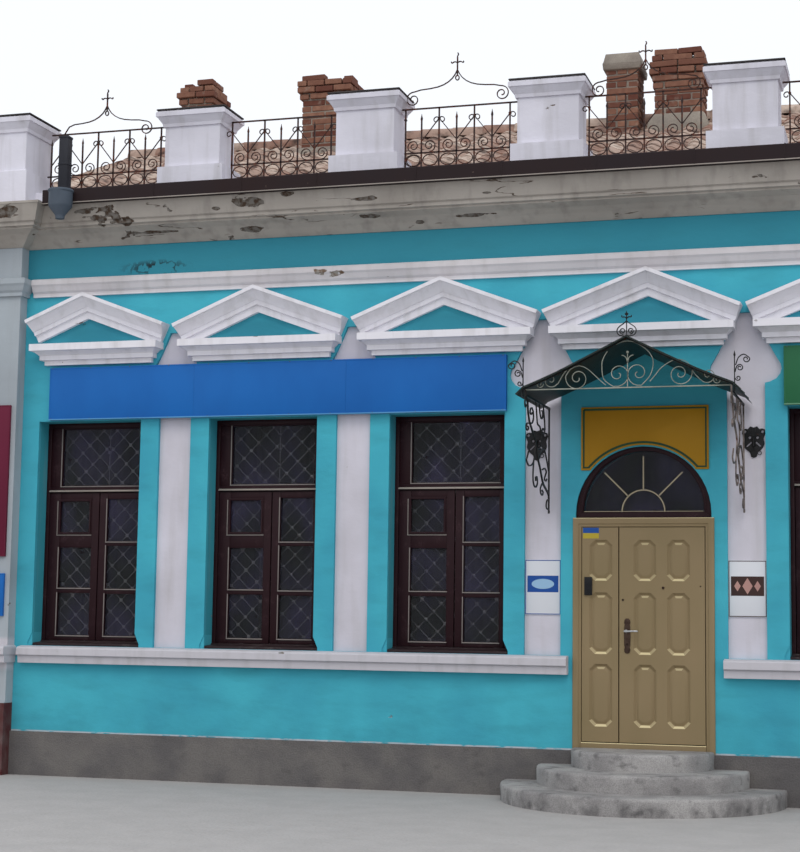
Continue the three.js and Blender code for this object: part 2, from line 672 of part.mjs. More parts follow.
// Strut of a bracket, from the wall up to the canopy's front corner: depth and height
const STRUT = [
  [-8, 2590], [-60, 2650], [-210, 2750], [-330, 2900], [-400, 3000], [-480, 3100], [-600, 3185],
  [-740, 3285], [-850, 3395], [-990, 3530],
];
const sheetUnder = sheetTop.map(([x, z]) => [x, z - CANOPY.sheet]);
addPart('canopy_roof', 'iron_black', facade(shifted([
  ...sheetTop, ...mirroredX(sheetTop.slice(0, -1)).reverse(),
  ...mirroredX(sheetUnder.slice(0, -1)), ...[...sheetUnder].reverse(),
], CANOPY.x), [], CANOPY.front, -GAP));
function bracket(side) {
  const x = CANOPY.x + side * CANOPY.rail;
  const rings = STRUT.map(([y, z]) => [
    [x - 7, y - 7, z - 6], [x + 7, y - 7, z - 6], [x + 7, y + 7, z + 6], [x - 7, y + 7, z + 6],
  ]);
  const wallX = [x - 9, x + 9];
  return [
    loft(rings, rect(0, 1, 0, 1)),
    box(...wallX, -18, -GAP, CANOPY.bracketFoot - 15, CANOPY.low + 15),
    box(...wallX, -10, FACING - GAP, CANOPY.bracketFoot, CANOPY.bracketFoot + 18),
    box(...wallX, CANOPY.frameY - 9, FACING - GAP, CANOPY.low, CANOPY.low + 18),
    box(...wallX, CANOPY.frameY - 9, CANOPY.frameY + 9, CANOPY.low, CANOPY.railZ + 5),
  ];
}
// The gable bar runs close under the sheet
const GABLE_BAR = 14;
const gableHalf = sheetUnder.slice(1).map(([x, z]) => [
  Math.min(x, CANOPY.rail + 8), z - GAP - GABLE_BAR * 0.57,
]);
const gable = [...mirroredX(gableHalf.slice(0, -1)), ...[...gableHalf].reverse()];
addPart('canopy_frame', 'iron_black', joined([
  ...bracket(-1), ...bracket(1),
  box(CANOPY.x - CANOPY.rail - 9, CANOPY.x + CANOPY.rail + 9, CANOPY.frameY - 8, CANOPY.frameY + 8,
    CANOPY.railZ - 8, CANOPY.railZ + 8),
  bar(shifted(gable, CANOPY.x), CANOPY.frameY, GABLE_BAR),
]));

// Cast lion masks on the strips beside the canopy: half outline from the mask's centre
const MASK = [
  [0, -142], [24, -132], [34, -95], [60, -72], [78, -55], [94, -15], [86, 35], [104, 82], [98, 112],
  [72, 122], [52, 118], [30, 142], [0, 132],
];
const maskOutline = [...MASK, ...mirroredX(MASK.slice(1, -1)).reverse()];
const mask = (x) => facade(maskOutline.map(([u, v]) => [u + x, v + 3195]), [],
  FACING - GAP - 35, FACING - GAP);
addPart('lion_mask_left', 'iron_black', mask(-990));
addPart('lion_mask_right', 'iron_black', mask(990));

// Rain hopper under the gutter end
addPart('rain_hopper', 'zinc_grey', stack([
  [-5728, -5688, -518, -482, 5440], [-5728, -5688, -518, -482, 5505],
  [-5808, -5608, -595, -400 - GAP, 5590], [-5815, -5600, -600, -400 - GAP, 5740],
]));

// Centre of the footprint: walls and verges across, lowest step to back eave in depth
building.position.set(-(LEFT + RIGHT) / 2, -(ROOF_BACK_Y - STEPS[0].depth) / 2, 0);

export default building;
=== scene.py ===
"""Looks of a single-storey museum building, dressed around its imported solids.

Lengths are metres. Shapes are drawn from the middle of the entrance door (X), the painted wall
face (Y) and the pavement (Z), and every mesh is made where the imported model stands.
"""

import logging
import math
import random
from collections.abc import Iterable, Sequence
from dataclasses import dataclass, field
from enum import Enum
from functools import reduce

import bmesh
import bpy
from mathutils import Matrix, Vector, noise


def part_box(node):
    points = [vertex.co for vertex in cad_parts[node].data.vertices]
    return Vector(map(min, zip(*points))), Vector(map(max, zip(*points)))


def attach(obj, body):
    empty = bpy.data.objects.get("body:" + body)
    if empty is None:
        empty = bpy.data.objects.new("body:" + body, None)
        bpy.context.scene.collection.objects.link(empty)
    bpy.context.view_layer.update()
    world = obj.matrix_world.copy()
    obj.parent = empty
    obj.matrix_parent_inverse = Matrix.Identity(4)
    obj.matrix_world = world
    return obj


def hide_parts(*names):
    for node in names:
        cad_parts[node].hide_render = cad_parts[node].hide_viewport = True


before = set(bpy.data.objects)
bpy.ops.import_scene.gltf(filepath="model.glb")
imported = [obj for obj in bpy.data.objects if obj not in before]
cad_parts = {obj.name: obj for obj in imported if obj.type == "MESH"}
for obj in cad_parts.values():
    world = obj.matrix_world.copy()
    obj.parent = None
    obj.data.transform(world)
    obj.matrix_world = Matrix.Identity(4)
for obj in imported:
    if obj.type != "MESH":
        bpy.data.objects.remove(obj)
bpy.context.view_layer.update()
LOG = logging.getLogger("museum_building")

Point = tuple[float, float, float]
Flat = tuple[float, float]
Path = list[Flat]
Four = tuple[float, float, float, float]
Mesh = bpy.types.Mesh
Object = bpy.types.Object
Material = bpy.types.Material
Socket = bpy.types.NodeSocket

BUILDING = "building"
BAY = 1.85
GAP = 0.0003  # metres between pieces that meet
CREASE = 38  # degrees; a sharper edge is shaded as a crease
EDGE = 32  # degrees; a sharper edge is rounded
WINDOW_BAYS = (-3, -2, -1, 1)
STRIPS = tuple((bay + 0.5) * BAY for bay in (-3, -2, -1, 0))
DOOR_LOW, DOOR_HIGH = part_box("door_frame")
ORIGIN = Vector(((DOOR_LOW.x + DOOR_HIGH.x) / 2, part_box("front_facing")[0].y, 0.0))


def local_box(node: str) -> tuple[Vector, Vector]:
    """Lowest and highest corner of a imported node, from the door's middle and the wall face."""
    low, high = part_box(node)
    return low - ORIGIN, high - ORIGIN


# Materials

def linear(hex_code: str) -> Four:
    """Linear colour of an sRGB hex code, with full alpha."""
    parts = [int(hex_code[i:i + 2], 16) / 255 for i in (0, 2, 4)]
    return (*[c / 12.92 if c <= 0.04045 else ((c + 0.055) / 1.055) ** 2.4 for c in parts], 1.0)


def add(tree: bpy.types.NodeTree, kind: str, inputs: dict | None = None,
        **settings: object) -> bpy.types.Node:
    """Add a node to a tree, with its settings, its values and its links.

    Args:
        tree: shader or geometry tree.
        kind: the node's type.
        inputs: socket name or index to a value, or to the output socket that feeds it.
        settings: properties of the node.

    Returns:
        The new node.
    """
    node = tree.nodes.new(kind)
    for key, value in settings.items():
        setattr(node, key, value)
    for key, value in (inputs or {}).items():
        if isinstance(value, Socket):
            tree.links.new(value, node.inputs[key])
        else:
            node.inputs[key].default_value = value
    return node


@dataclass
class Surface:
    """Shader tree of one material while it is being built, read in object space.

    Attributes:
        name: the material's name.
        colour: the colour so far, coat on coat.
    """

    name: str
    colour: Four | Socket
    material: Material = field(init=False)
    tree: bpy.types.NodeTree = field(init=False)
    shader: bpy.types.Node = field(init=False)
    place: Socket = field(init=False)

    def __post_init__(self) -> None:
        """Create the material with its shader and object coordinates."""
        self.material = bpy.data.materials.new(self.name)
        self.material.use_nodes = True
        self.tree = self.material.node_tree
        self.shader = self.tree.nodes["Principled BSDF"]
        self.place = add(self.tree, "ShaderNodeTexCoord").outputs["Object"]

    def blotches(self, size_mm: float, low: float, high: float, stretch: Point = (1, 1, 1),
                 detail: float = 4.0) -> Socket:
        """Cloudy mask from 0 to 1.

        Args:
            size_mm: size of one cloud.
            low: noise value that gives 0.
            high: noise value that gives 1.
            stretch: how many times smaller the clouds are along each axis.
            detail: octaves of finer clouds.

        Returns:
            The mask's socket.
        """
        scale = [1000 / size_mm * s for s in stretch]
        spot = add(self.tree, "ShaderNodeMapping", {"Vector": self.place, "Scale": scale})
        cloud = add(self.tree, "ShaderNodeTexNoise",
                    {"Vector": spot.outputs[0], "Scale": 1.0, "Detail": detail})
        return add(self.tree, "ShaderNodeMapRange",
                   {"Value": cloud.outputs[0], "From Min": low, "From Max": high}).outputs[0]

    def ramp(self, axis: str, zero: float, one: float) -> Socket:
        """Mask that grows along an axis.

        Args:
            axis: X, Y or Z.
            zero: where the mask is 0, in metres.
            one: where the mask is 1, in metres.

        Returns:
            The mask's socket.
        """
        parts = add(self.tree, "ShaderNodeSeparateXYZ", {0: self.place})
        flip = zero > one
        ends = (one, zero) if flip else (zero, one)
        return add(self.tree, "ShaderNodeMapRange",
                   {"Value": parts.outputs[axis], "From Min": ends[0], "From Max": ends[1],
                    "To Min": float(flip), "To Max": float(not flip)}).outputs[0]

    def within(self, places: Sequence[Four]) -> Socket:
        """Mask of ovals on the street front.

        Args:
            places: x and z of each oval's middle, then half its width and half its height.

        Returns:
            The mask's socket, 1 near a middle and 0 beyond every rim.
        """
        masks = []
        for x, z, half_x, half_z in places:
            off = add(self.tree, "ShaderNodeVectorMath",
                      {0: self.place, 1: ORIGIN + Vector((x, 0, z))}, operation="SUBTRACT")
            scaled = add(self.tree, "ShaderNodeVectorMath",
                         {0: off.outputs[0], 1: (1 / half_x, 0, 1 / half_z)}, operation="MULTIPLY")
            far = add(self.tree, "ShaderNodeVectorMath", {0: scaled.outputs[0]},
                      operation="LENGTH")
            masks.append(add(self.tree, "ShaderNodeMapRange",
                             {"Value": far.outputs["Value"], "From Min": 0.35, "From Max": 1.0,
                              "To Min": 1.0, "To Max": 0.0}).outputs[0])
        return reduce(lambda one, other: self.both(one, other, "MAXIMUM"), masks)

    def veins(self, size_mm: float, width: float, stretch: Point = (1, 1, 1)) -> Socket:
        """Mask of thin winding lines: cracks or the edges of damp.

        Args:
            size_mm: distance between lines.
            width: share of that distance that a line fills.
            stretch: how many times denser the lines are along each axis.

        Returns:
            The mask's socket.
        """
        cloud = self.blotches(size_mm, 0.0, 1.0, stretch, 6)
        off = add(self.tree, "ShaderNodeMath", {0: cloud, 1: 0.5}, operation="SUBTRACT")
        size = add(self.tree, "ShaderNodeMath", {0: off.outputs[0]}, operation="ABSOLUTE")
        return add(self.tree, "ShaderNodeMapRange",
                   {"Value": size.outputs[0], "From Min": width * 0.5, "From Max": width,
                    "To Min": 1.0, "To Max": 0.0}).outputs[0]

    def both(self, first: object, second: object, how: str = "MULTIPLY") -> Socket:
        """Two masks or numbers combined, clamped to 0 to 1."""
        return add(self.tree, "ShaderNodeMath", {0: first, 1: second},
                   operation=how, use_clamp=True).outputs[0]

    def blend(self, share: object, under: object, over: object) -> Socket:
        """Colour that goes from one to another.

        Args:
            share: how much of the second, 0 to 1.
            under: the first colour, an sRGB hex or a socket.
            over: the second one.

        Returns:
            The colour's socket.
        """
        tints = [linear(c) if isinstance(c, str) else c for c in (under, over)]
        return add(self.tree, "ShaderNodeMix", {0: share, 6: tints[0], 7: tints[1]},
                   data_type="RGBA").outputs[2]

    def coat(self, share: object, over: object) -> None:
        """Lay a coat, an sRGB hex or a socket, over the colour so far where the share is 1."""
        self.colour = self.blend(share, self.colour, over)

    def relief(self, height: object, depth_mm: float) -> None:
        """Add a bump to those already on the shader.

        Args:
            height: mask of what stands out.
            depth_mm: how far it stands out.
        """
        inputs = {"Height": height, "Distance": depth_mm / 1000, "Strength": 1.0}
        feed = self.shader.inputs["Normal"]
        if feed.is_linked:
            inputs["Normal"] = feed.links[0].from_socket
        self.tree.links.new(add(self.tree, "ShaderNodeBump", inputs).outputs[0], feed)

    def close(self, **values: object) -> None:
        """Feed the colour and the shader's other sockets.

        Args:
            values: socket names, with _ for a space, to a value, a socket, or a mask with the
                values where it is 0 and 1.
        """
        for key, value in {"Base_Color": self.colour, **values}.items():
            socket = self.shader.inputs[key.replace("_", " ")]
            if isinstance(value, tuple) and isinstance(value[0], Socket):
                value = add(self.tree, "ShaderNodeMapRange", {
                    "Value": value[0], "To Min": value[1], "To Max": value[2]}).outputs[0]
            if isinstance(value, Socket):
                self.tree.links.new(value, socket)
            else:
                socket.default_value = value


MADE: dict[str, Material] = {}


@dataclass(frozen=True)
class Finish:
    """A finish that is made once and shared by its pieces.

    Attributes:
        name: real material and making.
        colour: main colour, sRGB hex.
        shade: second colour of its clouds, sRGB hex.
    """

    name: str
    colour: str
    shade: str

    def material(self) -> Material:
        """The Blender material of this finish.

        Returns:
            The material, the same one each time.
        """
        if self.name not in MADE:
            surface = Surface(self.name, linear(self.colour))
            self.build(surface)
            MADE[self.name] = surface.material
        return MADE[self.name]

    def build(self, s: Surface) -> None:
        """Build the shader; each kind of finish has its own."""
        raise NotImplementedError


@dataclass(frozen=True)
class Plaster(Finish):
    """Brushed limewash on lime plaster: dead matt, cloudy, streaked by rain, flaked in spots.

    Attributes:
        dirt: colour of the rain streaks and dust.
        bare: colour that a flaked spot uncovers.
        streak: share of dirt in a streak.
        flake: how much has flaked off, 0 to 1.
        reveal: colour of faces that look sideways, up or down, where it differs.
        worn: ovals that have flaked down to the masonry.
        damp: ovals with dark branching stains.
        cracks: share of long level cracks, 0 for none.
        foot: colour below the foot line, where it differs.
        foot_z: height of the foot line.
        frieze: painted shade above the string course, under the cornice, where it differs.
        dim: ovals of the same painted shade: the gable fields under the rakes and the wall under
            the canopy.
        crown: a lighter colour on a level zone of what stands on the street front: painted light.
        crown_z: where that zone begins and ends.
        line: colour of a thin line at the very foot of the coat, where there is one.
        streak_stretch: how many times denser the streaks are along each axis.
    """

    dirt: str = "77736c"
    bare: str = "6f5a49"
    streak: float = 0.35
    flake: float = 0.0
    reveal: str | None = None
    worn: tuple[Four, ...] = ()
    damp: tuple[Four, ...] = ()
    cracks: float = 0.0
    foot: str | None = None
    foot_z: float = 0.7
    frieze: str | None = None
    dim: tuple[Four, ...] = ()
    crown: str | None = None
    crown_z: Flat = (4.05, 4.8)
    line: str | None = None
    streak_stretch: Point = (2.2, 2.2, 0.25)

    def build(self, s: Surface) -> None:
        """Clouds, painted zones, rain streaks and dust, then what time took off.

        Args:
            s: the material's tree.
        """
        s.coat(s.blotches(700, 0.35, 0.68), self.shade)
        brush = s.blotches(60, 0.3, 0.7, (0.6, 1, 1), 3)
        self.zones(s)
        streaks = s.both(s.blotches(260, 0.5, 0.78, self.streak_stretch), self.streak)
        s.coat(streaks, self.dirt)
        dust = s.both(s.both(s.ramp("Z", 0.95, 0.4), s.blotches(180, 0.3, 0.7)), 0.3)
        s.coat(dust, self.dirt)
        s.relief(brush, 1.2)
        s.relief(s.blotches(7, 0.2, 0.8, detail=2), 0.5)
        self.wear(s)
        s.close(Roughness=0.92, Specular_IOR_Level=0.25)

    def zones(self, s: Surface) -> None:
        """Zones that are painted in another colour, painted shade and painted light among them.

        Args:
            s: the material's tree.
        """
        if self.reveal:
            side = add(s.tree, "ShaderNodeSeparateXYZ",
                       {0: add(s.tree, "ShaderNodeNewGeometry").outputs["Normal"]}).outputs["Y"]
            turned = add(s.tree, "ShaderNodeMapRange",
                         {"Value": s.both(side, side), "From Min": 0.5, "From Max": 0.3})
            s.coat(turned.outputs[0], self.reveal)
        if self.foot:
            s.coat(s.ramp("Z", self.foot_z + 0.004, self.foot_z), self.foot)
        # Painted shade: darker under the cornice, in the gable fields and on the wall under the
        # canopy.
        if self.frieze:
            shade = s.both(s.ramp("Z", 4.8, 4.95), s.within(self.dim), "MAXIMUM")
            s.coat(s.both(shade, 0.85), self.frieze)
        # Painted light: a lighter band on what stands out from the wall, such as the pediments and
        # the consoles.
        if self.crown:
            low, high = self.crown_z
            band = s.both(s.ramp("Z", low - 0.05, low), s.ramp("Z", high, high - 0.04))
            s.coat(s.both(band, s.ramp("Y", -3.15, -3.16)), self.crown)
        if self.line:
            s.coat(s.both(s.ramp("Z", 0.442, 0.436), s.blotches(90, 0.35, 0.5, (1, 1, 3))),
                   self.line)

    def wear(self, s: Surface) -> None:
        """Cracks, damp and flaked spots.

        Args:
            s: the material's tree.
        """
        if self.cracks:
            some = s.both(s.blotches(330, 0.56, 0.6, (0.7, 0.7, 2)), self.cracks)
            cracks = s.both(s.veins(420, 0.008, (0.3, 0.3, 2.6)), some)
            s.coat(cracks, self.bare)
            s.relief(s.both(1.0, cracks, "SUBTRACT"), 2)
        if self.damp:
            s.coat(s.both(s.both(s.within(self.damp), s.veins(120, 0.055)), 0.9), "231e1e")
        if self.flake:
            spots = s.blotches(210, 0, 1, (1, 1, 1.7), 7)
            if self.worn:
                spots = s.both(spots, s.both(s.within(self.worn), 0.26), "ADD")
            edge = 0.76 - 0.14 * self.flake
            gone = add(s.tree, "ShaderNodeMapRange",
                       {"Value": spots, "From Min": edge, "From Max": edge + 0.012}).outputs[0]
            s.coat(gone, s.blend(s.blotches(50, 0.4, 0.6), self.bare, self.dirt))
            s.relief(s.both(1.0, gone, "SUBTRACT"), 5)


@dataclass(frozen=True)
class Concrete(Finish):
    """Floated cement or rough render: pores, damp stains and rubbed edges.

    Attributes:
        stain: colour of damp and soot.
        stained: how far the stains reach, 0 to 1.
        pore_mm: size of its pores.
        stain_mm: size of the stains.
        soaked: share of the stain in the lowest hand's breadth.
    """

    stain: str = "45464a"
    stained: float = 0.5
    pore_mm: float = 14
    stain_mm: float = 230
    soaked: float = 0.0

    def build(self, s: Surface) -> None:
        """Two clouds of colour, dark stains and a pitted relief.

        Args:
            s: the material's tree.
        """
        s.coat(s.blotches(330, 0.38, 0.64), self.shade)
        grit = s.blotches(self.pore_mm, 0.42, 0.6, detail=3)
        s.coat(s.both(grit, 0.25), self.stain)
        stains = s.blotches(self.stain_mm, 0.74 - 0.26 * self.stained, 0.92 - 0.2 * self.stained,
                            (1, 1, 1.4), 6)
        s.coat(s.both(stains, 0.8), self.stain)
        if self.soaked:
            damp = s.both(s.ramp("Z", 0.17, 0.04), s.blotches(110, 0.42, 0.62, (1, 1, 0.6), 6))
            s.coat(s.both(damp, self.soaked), self.stain)
        s.relief(s.blotches(90, 0.2, 0.8), 6)
        s.relief(grit, 1.5)
        s.close(Roughness=0.88, Specular_IOR_Level=0.3)


@dataclass(frozen=True)
class PaintedTimber(Finish):
    """Oil paint on planed timber: satin, with grain and worn, dusty spots."""

    def build(self, s: Surface) -> None:
        """Long grain under the paint, dust in clouds.

        Args:
            s: the material's tree.
        """
        grain = s.blotches(14, 0.25, 0.75, (1, 1, 0.04), 5)
        worn = s.both(s.blotches(120, 0.55, 0.75), s.blotches(18, 0.4, 0.6))
        s.coat(s.both(worn, 0.7), self.shade)
        s.relief(grain, 0.6)
        s.relief(worn, 0.3)
        s.close(Roughness=(worn, 0.42, 0.7), Specular_IOR_Level=0.15)


@dataclass(frozen=True)
class Enamel(Finish):
    """Sprayed or brushed gloss paint on sheet steel, dulled by dust.

    Attributes:
        rust: colour under chips, where there are any.
        chipped: how much of the paint has come off, 0 to 1.
        gloss: roughness of the clean paint.
        upward_highlight: colour of slanting faces that look up: a painted highlight where they
            catch the sky.
    """

    rust: str = "5a3a2c"
    chipped: float = 0.0
    gloss: float = 0.35
    upward_highlight: str | None = None

    def build(self, s: Surface) -> None:
        """Slow fading, a painted highlight on upward slopes, orange-peel and broad waves, and
        chips.

        Args:
            s: the material's tree.
        """
        fade = s.blotches(650, 0.35, 0.7, (1, 1, 0.6))
        s.coat(fade, self.shade)
        # Painted highlight: slopes that face up are paled as if lit by the sky.
        if self.upward_highlight:
            facing = add(s.tree, "ShaderNodeSeparateXYZ",
                         {0: add(s.tree, "ShaderNodeNewGeometry").outputs["True Normal"]})
            upward = add(s.tree, "ShaderNodeMapRange",
                         {"Value": facing.outputs["Z"], "From Min": 0.3, "From Max": 0.62})
            s.coat(upward.outputs[0], self.upward_highlight)
        s.relief(s.blotches(9, 0.2, 0.8, detail=1), 0.12)
        s.relief(s.blotches(420, 0.2, 0.8, detail=1), 1.6)
        if self.chipped:
            spots = s.blotches(60, 0.78 - 0.2 * self.chipped, 0.8 - 0.2 * self.chipped, detail=7)
            s.coat(spots, self.rust)
            s.relief(s.both(1.0, spots, "SUBTRACT"), 0.5)
        s.close(Roughness=(fade, self.gloss, self.gloss + 0.2), Specular_IOR_Level=0.22)


@dataclass(frozen=True)
class ForgedIron(Finish):
    """Hammered iron under old paint, with rust where the paint has gone.

    Attributes:
        rust: colour of the rust.
        rusted: share of rust, 0 to 1.
    """

    rust: str = "5d3424"
    rusted: float = 0.2

    def build(self, s: Surface) -> None:
        """Paint clouds, rust clouds and hammer marks.

        Args:
            s: the material's tree.
        """
        s.coat(s.blotches(90, 0.35, 0.65), self.shade)
        rust = s.blotches(38, 0.72 - 0.34 * self.rusted, 0.8 - 0.3 * self.rusted, detail=6)
        s.coat(rust, self.rust)
        s.relief(s.blotches(16, 0.2, 0.8, detail=2), 0.7)
        s.relief(rust, 0.3)
        s.close(Roughness=(rust, 0.45, 0.85), Metallic=0.1, Specular_IOR_Level=0.25)


@dataclass(frozen=True)
class FiredClay(Finish):
    """Fired clay, each piece of its own tone, with lichen and lime on it.

    Attributes:
        pale: colour of the lightest pieces.
        bloom: colour of lichen, soot or lime.
        bloomed: share of bloom, 0 to 1.
    """

    pale: str = "a9705a"
    bloom: str = "5e5850"
    bloomed: float = 0.4

    def build(self, s: Surface) -> None:
        """The tone that each piece carries, then bloom and a sandy relief.

        Args:
            s: the material's tree.
        """
        s.coat(add(s.tree, "ShaderNodeAttribute", attribute_name="tone").outputs["Fac"],
               self.pale)
        s.coat(s.both(s.blotches(70, 0.35, 0.65), 0.6), self.shade)
        bloom = s.blotches(130, 0.72 - 0.3 * self.bloomed, 0.86 - 0.2 * self.bloomed, detail=6)
        s.coat(s.both(bloom, 0.85), self.bloom)
        s.relief(s.blotches(5, 0.2, 0.8, detail=2), 0.8)
        s.relief(s.blotches(28, 0.2, 0.8), 2.2)
        s.close(Roughness=0.93, Specular_IOR_Level=0.25)


@dataclass(frozen=True)
class WindowGlass(Finish):
    """Old drawn sheet glass: slightly wavy and dusty, with the painted shade of an unlit room
    behind it.

    Attributes:
        body: opacity of the pane with its dust and the painted shade of the room.
    """

    body: float = 0.42

    def build(self, s: Surface) -> None:
        """Dust and painted reflections as clouds of colour and opacity, waves as relief.

        Args:
            s: the material's tree.
        """
        dust = s.blotches(300, 0.4, 0.8, (1, 1, 0.5))
        s.relief(s.blotches(260, 0.2, 0.8, detail=1), 1.0)
        # Painted reflections: the bluish second colour of the dust clouds.
        s.coat(dust, self.shade)
        s.close(Roughness=0.08, Alpha=(dust, self.body, self.body + 0.16),
                Specular_IOR_Level=0.22)


@dataclass(frozen=True)
class BareMetal(Finish):
    """Turned or brushed metal with fine lines along X."""

    def build(self, s: Surface) -> None:
        """Fine brushed lines and finger marks.

        Args:
            s: the material's tree.
        """
        lines = s.blotches(2, 0.3, 0.7, (0.05, 1, 1), 2)
        s.coat(s.blotches(30, 0.4, 0.7), self.shade)
        s.relief(lines, 0.04)
        s.close(Roughness=(lines, 0.25, 0.42), Metallic=1.0)


class Looks(Enum):
    """Finishes of the building, by what they cover."""

    # Lime brushed on plaster: dead matt and cloudy, grey where rain ran, bare where it flaked.
    # Their crown colours are painted light: lighter bands on the mouldings and consoles that stand
    # out.
    LIMEWASH = Plaster(
        "Limewash on lime plaster", "d7d3d6", "c6c2c5", dirt="98938c", flake=0.25, streak=0.3,
        worn=((-3.02, 4.885, 0.36, 0.07), (-4.02, 4.85, 0.2, 0.04), (-3.72, 4.3, 0.1, 0.07),
              (-6.2, 4.6, 0.2, 0.1)), crown="e9e7ed")
    WALL = Plaster(
        "Limewash on the street wall", "d8d4de", "c7c3cb", dirt="9b968f", flake=0.12,
        reveal="3b9bac", streak=0.25, worn=((-3.7, 4.3, 0.16, 0.12),), crown="ebe8f1",
        crown_z=(3.55, 4.8))
    PIER = Plaster(
        "Limewash on the parapet", "e2e0ea", "d0ced7", dirt="918c84", streak=0.35, flake=0.12)
    PILASTER = Plaster(
        "Limewash with a painted foot", "abb3b9", "9ea5ab", dirt="8b8a87", flake=0.3,
        foot="4e1518", streak=0.3, crown="c5c2c8", crown_z=(1.06, 1.36))
    # Lime on a run moulding: grey-brown and damp, cracked, and broken open along its edges.
    CORNICE = Plaster(
        "Weathered limewash on run plaster", "b1aaa2", "9f9890", dirt="75706a", bare="493a2f",
        streak=0.5, flake=0.5, cracks=0.9, worn=(
            (-6.28, 5.6, 0.16, 0.09), (-5.32, 5.5, 0.42, 0.12), (-5.44, 5.58, 0.36, 0.075),
            (-4.12, 5.53, 0.08, 0.03), (-3.76, 5.57, 0.2, 0.065), (-4.82, 5.37, 0.3, 0.018),
            (-3.84, 5.35, 0.18, 0.03), (-3.38, 5.63, 0.16, 0.035), (-3.03, 5.55, 0.12, 0.03),
            (-2.6, 5.54, 0.27, 0.032), (-1.4, 5.53, 0.07, 0.018), (-2.6, 5.4, 0.18, 0.02),
            (-1.54, 5.37, 0.24, 0.02), (-2.12, 5.34, 0.08, 0.025), (-1.1, 5.37, 0.12, 0.02)))
    # Distemper brushed on plaster: flat blue-green with paler clouds and a branching damp stain.
    # Its frieze colour is painted shade under the cornice, in the gable fields and under the
    # canopy.
    TURQUOISE = Plaster(
        "Turquoise distemper on plaster", "49b2c4", "40a0b6", dirt="35808f", bare="b9b4b4",
        streak=0.35, flake=0.06, streak_stretch=(0.5, 0.5, 1.6), frieze="348497", line="c9ccd2",
        damp=((-4.88, 5.04, 0.42, 0.09),), dim=(
            (-5.58, 4.33, 0.62, 0.26), (-3.76, 4.33, 0.66, 0.28), (-1.88, 4.33, 0.66, 0.28),
            (0.055, 4.33, 0.66, 0.28), (1.85, 4.33, 0.66, 0.28), (0.02, 3.42, 1.1, 0.42)))
    # Cement or lime, thrown, floated or pointed: grey and porous, and dark where it is damp.
    RENDER = Plaster("Grey cement render", "b4afa6", "a39d93", dirt="7e786e", streak=0.5,
                     flake=0.4, bare="8d5c48")
    PLINTH = Concrete("Rough cast plinth render", "736f6c", "625f5f", "454242", 0.5)
    STEP = Concrete("Floated cement steps", "b0adab", "949190", "434142", 0.66, 9, 120, 0.6)
    MORTAR = Concrete("Lime mortar", "a0978b", "857c73", "5b554e", 0.5, 10)
    CAPPING = Concrete("Weathered cement capping", "4a4645", "3a3737", "252324", 0.6)
    PAVEMENT = Concrete("Pale studio floor", "b1aeac", "aba8a6", "a09d9c", 0.2, 30)
    # Oil paint brushed on planed pine: a dull satin with the grain under it and pale dust.
    TIMBER = PaintedTimber("Maroon oil paint on pine", "271217", "463236")
    PUTTY = PaintedTimber("Weathered oil paint on glazing beads", "847d79", "5c5552")
    SILL_BOARD = PaintedTimber("Rain-worn sill board", "2f2325", "6e6664")
    FLOOR = PaintedTimber("Painted floor boards", "5b3b27", "6e4e38")
    CREAM = Enamel("Cream paint on glazing bars", "a89d84", "958a74", gloss=0.5)
    # Enamel sprayed on pressed or rolled steel: even and satin; the door's upward slopes carry a
    # painted highlight.
    DOOR = Enamel("Khaki enamel on pressed steel", "8f7c5d", "867656", gloss=0.42,
                  upward_highlight="d9ca9f")
    BLUE = Enamel("Blue enamel on sheet steel", "1467b6", "125ca8", gloss=0.4)
    BLUE_EDGE = Enamel("Faded blue enamel edge", "5f9cc8", "4f8cbc", gloss=0.5)
    GREEN = Enamel("Green enamel on sheet steel", "296a45", "276041", gloss=0.4)
    GREEN_EDGE = Enamel("Faded green enamel edge", "6f9b7c", "5f8c6d", gloss=0.5)
    OCHRE = Enamel("Ochre enamel on board", "a87b10", "9b700e", gloss=0.5)
    OLIVE = Enamel("Dark green line enamel", "22412c", "2a4a30", gloss=0.5)
    RED = Enamel("Crimson enamel on sheet steel", "661432", "5c112c", gloss=0.4)
    # Moulded plastic and calendered vinyl: one flat colour with a soft, broad shine.
    WHITE_PLATE = Enamel("White moulded plastic", "dfe1e6", "d5d7dd", gloss=0.35)
    BLACK_PLASTIC = Enamel("Black moulded plastic", "151517", "1d1d20", gloss=0.4)
    BLUE_FILM = Enamel("Blue vinyl film", "1c4f9c", "1a4a94", gloss=0.3)
    BROWN_FILM = Enamel("Brown vinyl film", "3a2724", "45302b", gloss=0.3)
    PALE_FILM = Enamel("Pale vinyl film", "8fb7d8", "9cc0dc", gloss=0.3)
    ROSE_FILM = Enamel("Rose vinyl film", "b98f86", "a87f78", gloss=0.3)
    YELLOW_FILM = Enamel("Yellow vinyl film", "b9a437", "ad9931", gloss=0.3)
    # Folded zinc sheet, bare or brushed with paint: dull and faintly wavy, chipped to grey.
    GUTTER = Enamel("Brown paint on zinc sheet", "22171a", "2b1e1e", rust="5c4e47", chipped=0.35,
                    gloss=0.6)
    ZINC = Enamel("Painted zinc sheet", "57616d", "49525d", rust="3b3937", chipped=0.25,
                  gloss=0.5)
    DUCT = Enamel("Dull painted duct sheet", "393a40", "2f3036", rust="2f2c2b", chipped=0.3,
                  gloss=0.6)
    LIP = Enamel("Bare zinc fold", "a39a92", "8a827b", gloss=0.5)
